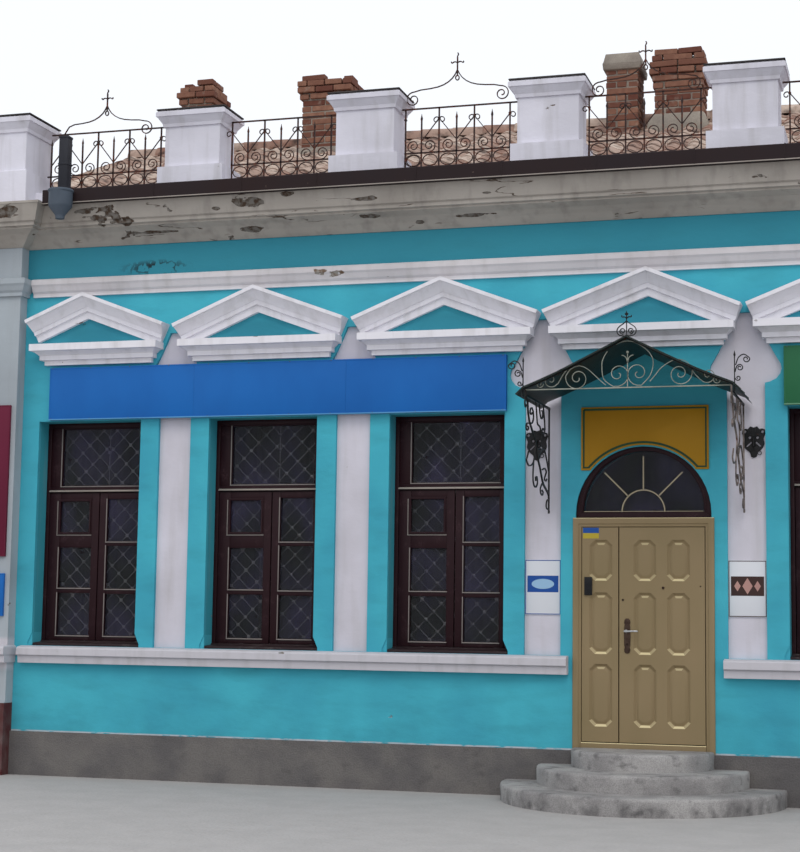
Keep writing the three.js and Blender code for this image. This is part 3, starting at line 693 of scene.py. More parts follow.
    # Forged, rolled or cast iron under brushed paint: dark, uneven and dull, with rust breaking
    # through.
    BLACK_IRON = ForgedIron("Black paint on forged iron", "171616", "242221", rusted=0.12)
    CANOPY_SHEET = ForgedIron("Black-green paint on sheet iron", "1c2523", "27302c", rusted=0.12)
    MASK_IRON = ForgedIron("Black gloss paint on cast iron", "161617", "222224", rusted=0.05)
    GREY_IRON = ForgedIron("Worn grey paint on iron bars", "cfcbcc", "aca8a8", rusted=0.05)
    FRIEZE_IRON = ForgedIron("Weathered green-grey paint on iron", "a3a598", "7f8378", rusted=0.2)
    WORN_IRON = ForgedIron("Chalky brown paint on iron", "332c29", "8f837d", rusted=0.3)
    RUSTY_IRON = ForgedIron("Rusted forged iron", "3a2723", "2a1b18", rust="5c3325", rusted=0.6)
    # Clay pressed in a mould and fired: sandy and matt, no two alike, with lime, soot and lichen.
    BRICK = FiredClay("Old hand-made brick", "5c332a", "6f4a3e", "97705c", "9a8f84", 0.36)
    TILE = FiredClay("Weathered clay pantile", "886153", "a0887a", "cdbcae", "3a302c", 0.78)
    # Drawn sheet glass: a slightly wavy pane under a veil of dust, with painted shade and painted
    # reflections.
    GLASS = WindowGlass("Dusty sheet glass", "24272a", "403b58", body=0.32)
    # Rolled and brushed steel: a silky metal shine, or a brown one on the old plate.
    LEVER = BareMetal("Brushed stainless steel", "c9cacb", "aeb0b2")
    PLATE = BareMetal("Browned steel plate", "4f4038", "3b2e28")


# Shapes

class Axis(Enum):
    """Direction in which a flat outline is pulled into a solid."""

    X = 0
    Y = 1
    Z = 2

    def at(self, u: float, v: float, w: float) -> Point:
        """Point of an outline's u and v at w along the direction."""
        return {Axis.X: (w, u, v), Axis.Y: (u, w, v), Axis.Z: (u, v, w)}[self]


def rect(u0: float, u1: float, v0: float, v1: float) -> Path:
    """Corners of a rectangle, counter-clockwise."""
    return [(u0, v0), (u1, v0), (u1, v1), (u0, v1)]


def arc(centre: Flat, radius: float, start: float, stop: float, steps: int) -> Path:
    """Points on a circle between two angles in degrees."""
    turns = [math.radians(start + (stop - start) * i / steps) for i in range(steps + 1)]
    return [(centre[0] + radius * math.cos(a), centre[1] + radius * math.sin(a)) for a in turns]


def mirrored(path: Iterable[Flat]) -> Path:
    """The same points on the other side of the vertical axis."""
    return [(-u, v) for u, v in path]


def shifted(path: Iterable[Flat], du: float, dv: float = 0.0) -> Path:
    """The same points moved by du and dv."""
    return [(u + du, v + dv) for u, v in path]


@dataclass
class Shape:
    """Points and faces of a piece, from the door's middle, the wall face and the pavement."""

    points: list[Point] = field(default_factory=list)
    faces: list[tuple[int, ...]] = field(default_factory=list)

    def add(self, points: Iterable[Point], faces: Iterable[Sequence[int]]) -> "Shape":
        """Add points and faces.

        Args:
            points: the new points.
            faces: the new faces, counted from the first new point.

        Returns:
            This shape.
        """
        base = len(self.points)
        self.points.extend(points)
        self.faces.extend(tuple(base + i for i in face) for face in faces)
        return self

    def loft(self, rings: Sequence[Sequence[Point]], capped: bool = True,
             round_trip: bool = False) -> "Shape":
        """Closed body through rings of equal length.

        Args:
            rings: the rings, each of them a closed loop.
            capped: close the first and the last ring with a face.
            round_trip: join the last ring to the first one instead.

        Returns:
            This shape.
        """
        count = len(rings[0])
        faces: list[Sequence[int]] = []
        last = len(rings) if round_trip else len(rings) - 1
        for r in range(last):
            a, b = r * count, (r + 1) % len(rings) * count
            faces += [(a + i, a + (i + 1) % count, b + (i + 1) % count, b + i)
                      for i in range(count)]
        if capped and not round_trip:
            faces += [range(count - 1, -1, -1), range(last * count, (last + 1) * count)]
        return self.add([p for ring in rings for p in ring], faces)

    def prism(self, outline: Sequence[Flat], span: Flat, axis: Axis = Axis.Y) -> "Shape":
        """Outline pulled along an axis from one place to another."""
        return self.loft([[axis.at(u, v, w) for u, v in outline] for w in span])

    def box(self, x: Flat, y: Flat, z: Flat) -> "Shape":
        """Upright box between two places on each axis."""
        return self.prism(rect(*x, *z), y)

    def stack(self, levels: Sequence[tuple[Flat, Flat, float]]) -> "Shape":
        """Body through level rectangles, each an x span, a y span and a height."""
        return self.loft([[(x[0], y[0], z), (x[1], y[0], z), (x[1], y[1], z), (x[0], y[1], z)]
                          for x, y, z in levels])

    def border(self, profile: Sequence[Flat], around: Four,
               sides: int = 4, head: float = 1.0) -> "Shape":
        """Profile carried round a rectangle with mitred corners.

        Args:
            profile: closed loop of inset from the rectangle and y.
            around: x0, x1, z0 and z1 of the rectangle.
            sides: 4 for all round, 3 to leave the bottom open.
            head: width of the top member as a share of the side ones.

        Returns:
            This shape.
        """
        x0, x1, z0, z1 = around
        foot = 1 if sides == 4 else 0
        corners = [
            [(x0 + d, y, z0 + d * foot) for d, y in profile],
            [(x0 + d, y, z1 - d * head) for d, y in profile],
            [(x1 - d, y, z1 - d * head) for d, y in profile],
            [(x1 - d, y, z0 + d * foot) for d, y in profile],
        ]
        return self.loft(corners, round_trip=sides == 4)

    def turned(self, profile: Sequence[Flat], centre: Point = (0, 0, 0), axis: Axis = Axis.Z,
               sides: int = 16) -> "Shape":
        """Body of revolution.

        Args:
            profile: radius and height of each ring, along the axis from the centre.
            centre: where the height is 0.
            axis: the axis.
            sides: sides of a ring.

        Returns:
            This shape.
        """
        rings = []
        for radius, height in profile:
            ring = arc((0, 0), max(radius, 1e-4), 0, 360 * (sides - 1) / sides, sides - 1)
            rings.append([tuple(a + b for a, b in zip(axis.at(u, v, height), centre))
                          for u, v in ring])
        return self.loft(rings)

    def backed(self, y: float) -> "Shape":
        """Close an open front sheet with sides and a flat back.

        Args:
            y: depth of the back.

        Returns:
            This shape.
        """
        kept: dict[Point, int] = {}
        index = [kept.setdefault(tuple(round(c, 5) for c in p), len(kept)) for p in self.points]
        self.faces = [tuple(index[i] for i in face) for face in self.faces]
        self.points = list(kept)
        sides = {(a, b) for face in self.faces for a, b in zip(face, face[1:] + face[:1])}
        rim = {a: b for a, b in sides if (b, a) not in sides}
        loop = [next(iter(rim))]
        while rim[loop[-1]] != loop[0]:
            loop.append(rim[loop[-1]])
        back = [(self.points[i][0], y, self.points[i][2]) for i in loop]
        count, base = len(loop), len(self.points)
        self.points += back
        self.faces += [(loop[(i + 1) % count], loop[i], base + i, base + (i + 1) % count)
                       for i in range(count)]
        self.faces.append(tuple(range(base, base + count)))
        return self

    def mesh(self, name: str, at_home: bool = False) -> Mesh:
        """Blender mesh of the shape, faces outward.

        Args:
            name: the mesh's name.
            at_home: keep the shape's own origin, as a template that is copied later needs.

        Returns:
            The mesh.
        """
        mesh = bpy.data.meshes.new(name)
        shift = Vector((0, 0, 0)) if at_home else ORIGIN
        mesh.from_pydata([Vector(p) + shift for p in self.points], [], self.faces)
        tidy = bmesh.new()
        tidy.from_mesh(mesh)
        bmesh.ops.recalc_face_normals(tidy, faces=tidy.faces)
        tidy.to_mesh(mesh)
        tidy.free()
        return mesh

    def piece(self, name: str, look: Looks, slot: str, body: str = BUILDING,
              bevel: float = 0.0, replaces: str = "") -> Object:
        """Finished piece of this shape; arguments and result as for settle."""
        return settle(self.mesh(name), name, look, body, bevel, replaces)


def settle(mesh: Mesh, name: str, look: Looks, body: str = BUILDING,
           bevel: float = 0.0, replaces: str = "") -> Object:
    """Round a mesh's edges, dress it and put it on its body.

    Args:
        mesh: the piece's mesh.
        name: the piece's name.
        look: its finish.
        body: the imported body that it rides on.
        bevel: width of its rounded edges.
        replaces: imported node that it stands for.

    Returns:
        The Blender object.
    """
    piece = linked(name, mesh)
    if bevel:
        rounded(piece, bevel, 2)
    piece.data.shade_smooth()
    piece.data.set_sharp_from_angle(angle=math.radians(CREASE))
    piece.data.materials.clear()
    piece.data.materials.append(look.value.material())
    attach(piece, body)
    if replaces:
        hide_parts(replaces)
    LOG.info("%s: %d faces, %s", name, len(piece.data.polygons), look.value.name)
    return piece


def linked(name: str, data: bpy.types.ID) -> Object:
    """Object that is linked to the scene.

    Args:
        name: its name.
        data: its mesh, light or camera.

    Returns:
        The Blender object.
    """
    thing = bpy.data.objects.new(name, data)
    bpy.context.scene.collection.objects.link(thing)
    return thing


def rounded(piece: Object, width: float, segments: int) -> None:
    """Round the edges of an object in its mesh.

    Args:
        piece: the object.
        width: width of the rounding.
        segments: faces across it.
    """
    edge = piece.modifiers.new("rounded edges", "BEVEL")
    edge.width = width
    edge.segments = segments
    edge.limit_method = "ANGLE"
    edge.angle_limit = math.radians(EDGE)
    edge.use_clamp_overlap = True
    piece.data = baked(piece)
    piece.modifiers.clear()


def baked(source: Object) -> Mesh:
    """Plain mesh of an object with its modifiers applied.

    Args:
        source: the object.

    Returns:
        The mesh.
    """
    bpy.context.view_layer.update()
    graph = bpy.context.evaluated_depsgraph_get()
    return bpy.data.meshes.new_from_object(source.evaluated_get(graph), depsgraph=graph)


def merged(name: str, meshes: Sequence[Mesh]) -> Mesh:
    """One mesh that holds several, with their tone attribute kept.

    Args:
        name: its name.
        meshes: the meshes.

    Returns:
        The mesh.
    """
    whole = bmesh.new()
    for mesh in meshes:
        whole.from_mesh(mesh)
    result = bpy.data.meshes.new(name)
    whole.to_mesh(result)
    whole.free()
    return result


def dress(look: Looks, *nodes: str) -> None:
    """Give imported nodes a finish.

    Args:
        look: the finish.
        nodes: names of the nodes.
    """
    for node in nodes:
        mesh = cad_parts[node].data
        mesh.materials.clear()
        mesh.materials.append(look.value.material())


# Geometry Nodes

@dataclass
class GrowthTree:
    """A Geometry Nodes tree with named inputs, run on a host mesh.

    Attributes:
        name: the tree's name.
        sockets: input name to socket type.
    """

    name: str
    sockets: dict[str, str]
    tree: bpy.types.NodeTree = field(init=False)
    given: bpy.types.Node = field(init=False)

    def __post_init__(self) -> None:
        """Create the tree with its interface."""
        self.tree = bpy.data.node_groups.new(self.name, "GeometryNodeTree")
        face = self.tree.interface
        face.new_socket("Geometry", in_out="INPUT", socket_type="NodeSocketGeometry")
        for label, kind in self.sockets.items():
            face.new_socket(label, in_out="INPUT", socket_type=kind)
        face.new_socket("Geometry", in_out="OUTPUT", socket_type="NodeSocketGeometry")
        self.given = self.tree.nodes.new("NodeGroupInput")

    def end(self, geometry: Socket) -> None:
        """Close the tree: instances become a mesh, the mesh takes its finish.

        Args:
            geometry: what the tree has grown.
        """
        real = add(self.tree, "GeometryNodeRealizeInstances", {0: geometry})
        dressed = add(self.tree, "GeometryNodeSetMaterial",
                      {"Geometry": real.outputs[0], "Material": self.given.outputs["Finish"]})
        add(self.tree, "NodeGroupOutput", {0: dressed.outputs[0]})

    def run(self, host: Mesh, **values: object) -> Mesh:
        """Grow the tree on a host mesh.

        Args:
            host: points or lines that the tree reads.
            values: input names, with _ for a space, to their values.

        Returns:
            The grown mesh.
        """
        holder = linked("host", host)
        growth = holder.modifiers.new(self.name, "NODES")
        growth.node_group = self.tree
        for item in self.tree.interface.items_tree:
            key = item.name.replace(" ", "_")
            if item.in_out == "INPUT" and key in values:
                growth[item.identifier] = values[key]
        mesh = baked(holder)
        bpy.data.objects.remove(holder)
        return mesh


def copies_tree() -> GrowthTree:
    """Tree that sets a copy of a template on each host point, by its turn and size.

    Returns:
        The tree.
    """
    grown = GrowthTree("copies on points", {
        "Template": "NodeSocketObject", "Finish": "NodeSocketMaterial",
        "Shift": "NodeSocketFloat", "Twist": "NodeSocketFloat", "Seed": "NodeSocketInt"})
    tree, given = grown.tree, grown.given.outputs
    shape = add(tree, "GeometryNodeObjectInfo", {"Object": given["Template"]})
    turn, size = (add(tree, "GeometryNodeInputNamedAttribute", {"Name": label},
                      data_type="FLOAT_VECTOR") for label in ("turn", "size"))
    wild = add(tree, "FunctionNodeRandomValue",
               {"Seed": given["Seed"], "Min": (-1, -1, -1), "Max": (1, 1, 1)},
               data_type="FLOAT_VECTOR")
    twist = add(tree, "ShaderNodeVectorMath", {0: wild.outputs[0], "Scale": given["Twist"]},
                operation="SCALE")
    turned = add(tree, "ShaderNodeVectorMath", {0: turn.outputs[0], 1: twist.outputs[0]})
    shift = add(tree, "ShaderNodeVectorMath", {0: wild.outputs[0], "Scale": given["Shift"]},
                operation="SCALE")
    moved = add(tree, "GeometryNodeSetPosition",
                {"Geometry": given["Geometry"], "Offset": shift.outputs[0]})
    placed = add(tree, "GeometryNodeInstanceOnPoints",
                 {"Points": moved.outputs[0], "Instance": shape.outputs["Geometry"],
                  "Rotation": turned.outputs[0], "Scale": size.outputs[0]})
    tone = add(tree, "FunctionNodeRandomValue", {"Seed": given["Seed"]}, data_type="FLOAT")
    toned = add(tree, "GeometryNodeStoreNamedAttribute",
                {"Geometry": placed.outputs[0], "Name": "tone", "Value": tone.outputs[1]},
                data_type="FLOAT", domain="INSTANCE")
    grown.end(toned.outputs[0])
    return grown


def bars_tree() -> GrowthTree:
    """Tree that lays a rectangular iron bar along each line of the host mesh.

    Returns:
        The tree.
    """
    grown = GrowthTree("bars along lines", {
        "Across": "NodeSocketFloat", "Thick": "NodeSocketFloat", "Facing": "NodeSocketVector",
        "Finish": "NodeSocketMaterial"})
    tree, given = grown.tree, grown.given.outputs
    lines = add(tree, "GeometryNodeMeshToCurve", {0: given["Geometry"]})
    kept = add(tree, "GeometryNodeSetCurveNormal", {"Curve": lines.outputs[0]}, mode="FREE")
    tree.links.new(given["Facing"], kept.inputs["Normal"])
    section = add(tree, "GeometryNodeCurvePrimitiveQuadrilateral",
                  {"Width": given["Across"], "Height": given["Thick"]})
    swept = add(tree, "GeometryNodeCurveToMesh",
                {"Curve": kept.outputs[0], "Profile Curve": section.outputs[0],
                 "Fill Caps": True})
    grown.end(swept.outputs[0])
    return grown


COPIES = copies_tree()
BARS = bars_tree()


@dataclass(frozen=True)
class Spot:
    """Place of one copy: its position, its turn about the axes in radians and its size."""

    at: Point
    turn: Point = (0.0, 0.0, 0.0)
    size: Point = (1.0, 1.0, 1.0)


def template(shape: Shape, bevel: float = 0.0) -> Object:
    """Object at its own origin that a tree copies.

    Args:
        shape: its shape.
        bevel: width of its rounded edges.

    Returns:
        The Blender object.
    """
    holder = linked("template", shape.mesh("template", at_home=True))
    if bevel:
        rounded(holder, bevel, 1)
    return holder


def copied(shape: Shape, spots: Sequence[Spot], shift: float = 0.0, twist: float = 0.0,
           seed: int = 1, bevel: float = 0.0) -> Mesh:
    """Mesh with a copy of a shape on each spot.

    Args:
        shape: the template, at its own origin.
        spots: where the copies go.
        shift: how far a copy may stray, in metres.
        twist: how far a copy may turn, in radians.
        seed: seed of the strays.
        bevel: width of the template's rounded edges.

    Returns:
        The mesh.
    """
    host = bpy.data.meshes.new("spots")
    host.from_pydata([Vector(s.at) + ORIGIN for s in spots], [], [])
    for label in ("turn", "size"):
        values = [c for s in spots for c in getattr(s, label)]
        host.attributes.new(label, "FLOAT_VECTOR", "POINT").data.foreach_set("vector", values)
    source = template(shape, bevel)
    mesh = COPIES.run(host, Template=source, Shift=shift, Twist=twist, Seed=seed)
    bpy.data.objects.remove(source)
    return mesh


class Plane(Enum):
    """Plane in which flat ironwork lies, and its facing direction."""

    STREET = (0.0, 1.0, 0.0)
    SIDE = (1.0, 0.0, 0.0)


def forged(paths: Sequence[Sequence[Flat]], offset: float, across: float, thick: float,
           plane: Plane = Plane.STREET) -> Mesh:
    """Mesh of flat bars along paths in one plane.

    Args:
        paths: points of each bar; u and z in the plane.
        offset: the plane's place along its facing direction.
        across: width of a bar across the plane.
        thick: thickness of a bar in the plane.
        plane: where the paths lie.

    Returns:
        The mesh.
    """
    host = bpy.data.meshes.new("paths")
    points: list[Vector] = []
    edges: list[tuple[int, int]] = []
    axis = Axis.Y if plane is Plane.STREET else Axis.X
    for path in paths:
        base = len(points)
        points += [Vector(axis.at(u, v, offset)) + ORIGIN for u, v in path]
        edges += [(base + i, base + i + 1) for i in range(len(path) - 1)]
    host.from_pydata(points, edges, [])
    return BARS.run(host, Across=across, Thick=thick, Facing=plane.value)


@dataclass(frozen=True)
class Leg:
    """Stretch of a bent bar: how far it turns in degrees and its radius at both ends.

    A straight leg has no turn, and its length is the first radius.
    """

    turn: float
    start: float
    end: float = 0.0


def bent(at: Flat, heading: float, legs: Sequence[Leg]) -> Path:
    """Path of a bar that a smith bends leg by leg.

    Args:
        at: where it starts.
        heading: its first direction, degrees from the u axis.
        legs: its legs; a positive turn bends to the left.

    Returns:
        The points of its path.
    """
    u, v = at
    angle = math.radians(heading)
    path = [(u, v)]
    for leg in legs:
        if not leg.turn:
            u, v = u + leg.start * math.cos(angle), v + leg.start * math.sin(angle)
            path.append((u, v))
            continue
        steps = max(3, round(abs(leg.turn) / 18))
        bend = math.radians(leg.turn) / steps
        for i in range(steps):
            radius = leg.start + (leg.end - leg.start) * (i + 0.5) / steps
            stride = abs(bend) * radius
            u += stride * math.cos(angle + bend / 2)
            v += stride * math.sin(angle + bend / 2)
            angle += bend
            path.append((u, v))
    return path


def eased(knots: Sequence[Flat], per: int = 5) -> Path:
    """Smooth path through knots.

    Args:
        knots: the knots.
        per: steps from each knot to the next.

    Returns:
        The points of its path.
    """
    ends = [knots[0], *knots, knots[-1]]
    path = []
    for a, b, c, d in zip(ends, ends[1:], ends[2:], ends[3:]):
        for i in range(per):
            t = i / per
            path.append(tuple(0.5 * (2 * b[k] + (c[k] - a[k]) * t
                                     + (2 * a[k] - 5 * b[k] + 4 * c[k] - d[k]) * t * t
                                     + (3 * b[k] - a[k] - 3 * c[k] + d[k]) * t ** 3)
                              for k in (0, 1)))
    return [*path, tuple(knots[-1])]


def pierced(body: Shape, holes: Shape) -> Mesh:
    """Mesh of a closed shape with other closed shapes cut out of it.

    Args:
        body: the closed shape.
        holes: what is cut out.

    Returns:
        The mesh.
    """
    solid, cutter = (linked("work", s.mesh("work")) for s in (body, holes))
    cut = solid.modifiers.new("holes", "BOOLEAN")
    cut.object = cutter
    cut.operation = "DIFFERENCE"
    mesh = baked(solid)
    bpy.data.objects.remove(solid)
    bpy.data.objects.remove(cutter)
    return mesh


# Site

@dataclass
class Site:
    """Camera, soft light and pale floor around the building; none of it is part of the object.

    Attributes:
        eye: where the camera stands.
        yaw: turn of its view to the left, in degrees.
        pitch: its upward tilt, in degrees.
        roll: its turn about the view line, in degrees.
        lens: focal length in mm on a 36 mm sensor.
    """

    eye: Point = (4.314, -19.038, 1.559)
    yaw: float = 16.753
    pitch: float = 6.338
    roll: float = -0.807
    lens: float = 74.25

    def build(self) -> None:
        """Set up the camera, the light and the floor."""
        self.camera()
        self.light()
        self.floor()

    def camera(self) -> None:
        """Camera of the photograph."""
        yaw, pitch, roll = (math.radians(a) for a in (self.yaw, self.pitch, self.roll))
        right = Vector((math.cos(yaw), math.sin(yaw), 0))
        level = Vector((-math.sin(yaw), math.cos(yaw), 0))
        ahead = level * math.cos(pitch) + Vector((0, 0, math.sin(pitch)))
        up = Vector((0, 0, math.cos(pitch))) - level * math.sin(pitch)
        across = right * math.cos(roll) - up * math.sin(roll)
        over = up * math.cos(roll) + right * math.sin(roll)
        data = bpy.data.cameras.new("street view")
        data.lens = self.lens
        data.sensor_width = 36
        data.clip_end = 300
        camera = linked("street view", data)
        turn = Matrix((across, over, -ahead)).transposed().to_4x4()
        camera.matrix_world = Matrix.Translation(self.eye) @ turn
        bpy.context.scene.camera = camera
        bpy.context.scene.view_settings.view_transform = "Standard"

    def light(self) -> None:
        """Overcast sky and a wide, weak sun from high up on the street side."""
        world = bpy.data.worlds.new("overcast sky")
        world.use_nodes = True
        sky = world.node_tree.nodes["Background"]
        sky.inputs["Color"].default_value = linear("edf1f7")
        sky.inputs["Strength"].default_value = 1.16
        bpy.context.scene.world = world
        data = bpy.data.lights.new("veiled sun", "SUN")
        data.energy = 0.62
        data.angle = math.radians(30)
        data.color = linear("fff6ea")[:3]
        sun = linked("veiled sun", data)
        sun.rotation_euler = Vector((0.35, -1.0, 1.25)).to_track_quat("Z", "Y").to_euler()

    def floor(self) -> None:
        """Plain pale floor at pavement height."""
        mesh = bpy.data.meshes.new("floor")
        mesh.from_pydata([(-80, -60, 0), (80, -60, 0), (80, 90, 0), (-80, 90, 0)], [],
                         [(0, 1, 2, 3)])
        mesh.materials.append(Looks.PAVEMENT.value.material())
        linked("floor", mesh)


# Masonry

def dress_masonry() -> None:
    """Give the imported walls, mouldings and roof boarding their finishes."""
    dress(Looks.WALL, "front_wall")
    dress(Looks.TURQUOISE, "front_facing")
    dress(Looks.LIMEWASH, "string_course", "ceiling")
    dress(Looks.CORNICE, "cornice")
    dress(Looks.PILASTER, "pilaster_left", "pilaster_right")
    dress(Looks.PIER, "parapet")
    dress(Looks.RENDER, "side_wall_left", "side_wall_right", "back_wall")
    dress(Looks.PLINTH, "foundation")
    dress(Looks.MORTAR, "roof")
    Shape().prism([(6.9502, 5.5404), (7.3999, 5.5404), (7.3999, 5.5838), (6.9502, 5.7704)],
                  (-6.85, 3.15), Axis.X).piece("eaves_fill", Looks.RENDER, "plaster_grey")


@dataclass
class Stair:
    """Three half-round cement steps in front of the door.

    Attributes:
        treads: half width, depth, lowest and highest level of each.
        back: the wall side of the steps.
        wobble: how far the worn rims stray from their curve.
    """

    treads: tuple[Four, ...] = (
        (1.26, 1.42, 0.0, 0.151), (0.94, 1.06, 0.1, 0.302), (0.635, 0.7, 0.25, 0.453))
    back: float = -0.0303
    wobble: float = 0.006

    def rim(self, half: float, depth: float, inset: float, z: float) -> list[Point]:
        """Half-round rim at a height, with its wear.

        Args:
            half: half width of the tread.
            depth: how far it reaches into the street.
            inset: how far the rim lies inside the tread's outline.
            z: height of the rim.

        Returns:
            The rim's points.
        """
        points = []
        for i in range(73):
            angle = math.pi * i / 72
            wear = noise.noise(Vector((angle * 6, depth * 9, z * 25))) * self.wobble
            reach = 1 - (inset + abs(wear)) / half
            points.append((-half * math.cos(angle) * reach,
                           self.back - (depth + self.back) * math.sin(angle) * reach, z))
        return points

    def build(self) -> None:
        """Make the steps as one piece."""
        shape = Shape()
        for half, depth, low, top in self.treads:
            levels = ((0.004, low), (0.002, top - 0.09), (0, top - 0.028), (0.003, top - 0.012),
                      (0.01, top - 0.004), (0.024, top), (0.2, top + 0.001))
            shape.loft([self.rim(half, depth, inset, z) for inset, z in levels])
        shape.piece("entrance_steps", Looks.STEP, "step_concrete", replaces="steps")


@dataclass
class PierCaps:
    """Dark weathered bedding on top of the parapet piers.

    Attributes:
        thick: its thickness.
        shifts: how far each pier stands beside its strip.
        sunk: how far the left end pier and the first pier have sunk.
        inner: y of an inner pier's middle, then half its width and half its depth.
        outer: the same for an end pier.
        end: how far the middle of an end pier lies inside the building's end.
    """

    thick: float = 0.022
    shifts: tuple[float, ...] = (0.038, 0.02, 0.0, 0.0)
    sunk: Flat = (0.048, 0.038)
    inner: Point = (0.34, 0.374, 0.266)
    outer: Point = (0.175, 0.316, 0.341)
    end: float = 0.318

    def build(self) -> None:
        """Make a low hipped slab on each pier."""
        low, high = local_box("parapet")
        top = high.z + GAP
        places = [(x + shift, *self.inner, top - (0.0 if i else self.sunk[1]))
                  for i, (x, shift) in enumerate(zip(STRIPS, self.shifts))]
        places += [(low.x + self.end, *self.outer, top - self.sunk[0]),
                   (high.x - self.end, *self.outer, top)]
        shape = Shape()
        for x, y, half_x, half_y, z in places:
            shape.stack([((x - half_x + inset, x + half_x - inset),
                          (y - half_y + inset, y + half_y - inset), z + rise)
                         for inset, rise in ((0.004, 0.0), (0.0, self.thick * 0.3),
                                             (0.004, self.thick * 0.7), (0.07, self.thick))])
        shape.piece("pier_caps", Looks.CAPPING, "plaster_grey", bevel=0.004)


@dataclass
class Chimney:
    """Brick stack with corbelled courses on a mortar core.

    Attributes:
        number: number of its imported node.
        x: its middle.
        half: half its width.
        top: its highest level.
        gaps: share of bricks missing from the highest course.
        cement: it carries a flat-topped cement cap with a collar under it.
        corbels: how far the courses stand out, from the highest down.
        skirt: height of the cement fillet at its foot, 0 for none.
        foot: its lowest level, inside the roof.
        depth: its front and its back.
        brick: length, width and height of a brick.
        joint: thickness of the mortar between bricks.
        inset: how far the mortar lies behind the bricks' faces.
    """

    number: int
    x: float
    half: float
    top: float
    gaps: float = 0.0
    cement: bool = False
    corbels: tuple[float, ...] = (0.012, 0.012, 0.046, 0.022)
    skirt: float = 0.0
    foot: float = 6.86
    depth: Flat = (2.98, 3.42)
    brick: Point = (0.24, 0.112, 0.064)
    joint: float = 0.011
    inset: float = 0.009

    def spots(self) -> list[Spot]:
        """Places of the bricks, course by course from the top down.

        Returns:
            The places.
        """
        rng = random.Random(self.number)
        middle = sum(self.depth) / 2
        rise = self.brick[2] + self.joint
        spots = []
        crown = self.top - (0.1 if self.cement else 0.0)
        for course in range(math.ceil((crown - self.foot) / rise)):
            z = crown - rise * (course + 0.5)
            grow = self.corbels[course] if course < len(self.corbels) else 0.0
            run_x = 2 * (self.half + grow)
            run_y = self.depth[1] - self.depth[0] + 2 * grow
            cut = 2 * (self.brick[1] + self.joint)
            long_x = course % 2 == 0
            for run, reach, turn in (
                    (run_x - (0 if long_x else cut), run_y / 2 - self.brick[1] / 2, 0.0),
                    (run_y - (cut if long_x else 0), run_x / 2 - self.brick[1] / 2, math.pi / 2)):
                count = max(1, round(run / (self.brick[0] + self.joint)))
                pitch = run / count
                size = ((pitch - self.joint) / self.brick[0], 1.0, 1.0)
                for i in range(count):
                    along = (i + 0.5) * pitch - run / 2
                    for side in (-1, 1):
                        if course < 1 and rng.random() < self.gaps:
                            continue
                        dx, dy = (along, side * reach) if not turn else (side * reach, along)
                        spots.append(Spot((self.x + dx, middle + dy, z), (0, 0, turn), size))
        return spots

    @staticmethod
    def spread(span: Flat, reach: float) -> Flat:
        """Span that is longer by reach at both ends."""
        return span[0] - reach, span[1] + reach

    def build(self) -> None:
        """Lay the bricks around the core."""
        brick = Shape().box(*(self.spread((0, 0), side / 2) for side in self.brick))
        bricks = copied(brick, self.spots(), 0.0035, 0.02, seed=self.number, bevel=0.006)
        settle(bricks, f"chimney_{self.number}_bricks", Looks.BRICK)
        x = self.spread((self.x, self.x), self.half - self.inset)
        y = self.spread(self.depth, -self.inset)
        crown = self.top - (0.1 if self.cement else 0.09)
        levels = [(x, y, 6.9), (x, y, crown - 0.06)]
        if self.cement:
            rings = ((0.0, 6.9), (0.0, crown - 0.1), (0.036, crown - 0.092),
                     (0.044, crown - 0.02), (0.034, crown))
            levels = [(self.spread(x, reach), self.spread(y, reach), z) for reach, z in rings]
            levels.append((self.spread(x, 0.015), y, self.top))
        else:
            levels.append((self.spread(x, -0.05), self.spread(y, -0.05), crown))
        core = Shape().stack(levels)
        if self.skirt:
            rings = ((0.085, 0.0), (0.075, self.skirt * 0.6), (0.04, self.skirt * 0.9),
                     (0.012, self.skirt), (-0.01, self.skirt + 0.01))
            core.stack([(self.spread(x, reach), self.spread(y, reach), self.foot + rise)
                        for reach, rise in rings])
        core.piece(f"chimney_{self.number}_mortar", Looks.MORTAR, "brick", bevel=0.008,
                   replaces=f"chimney_{self.number}")


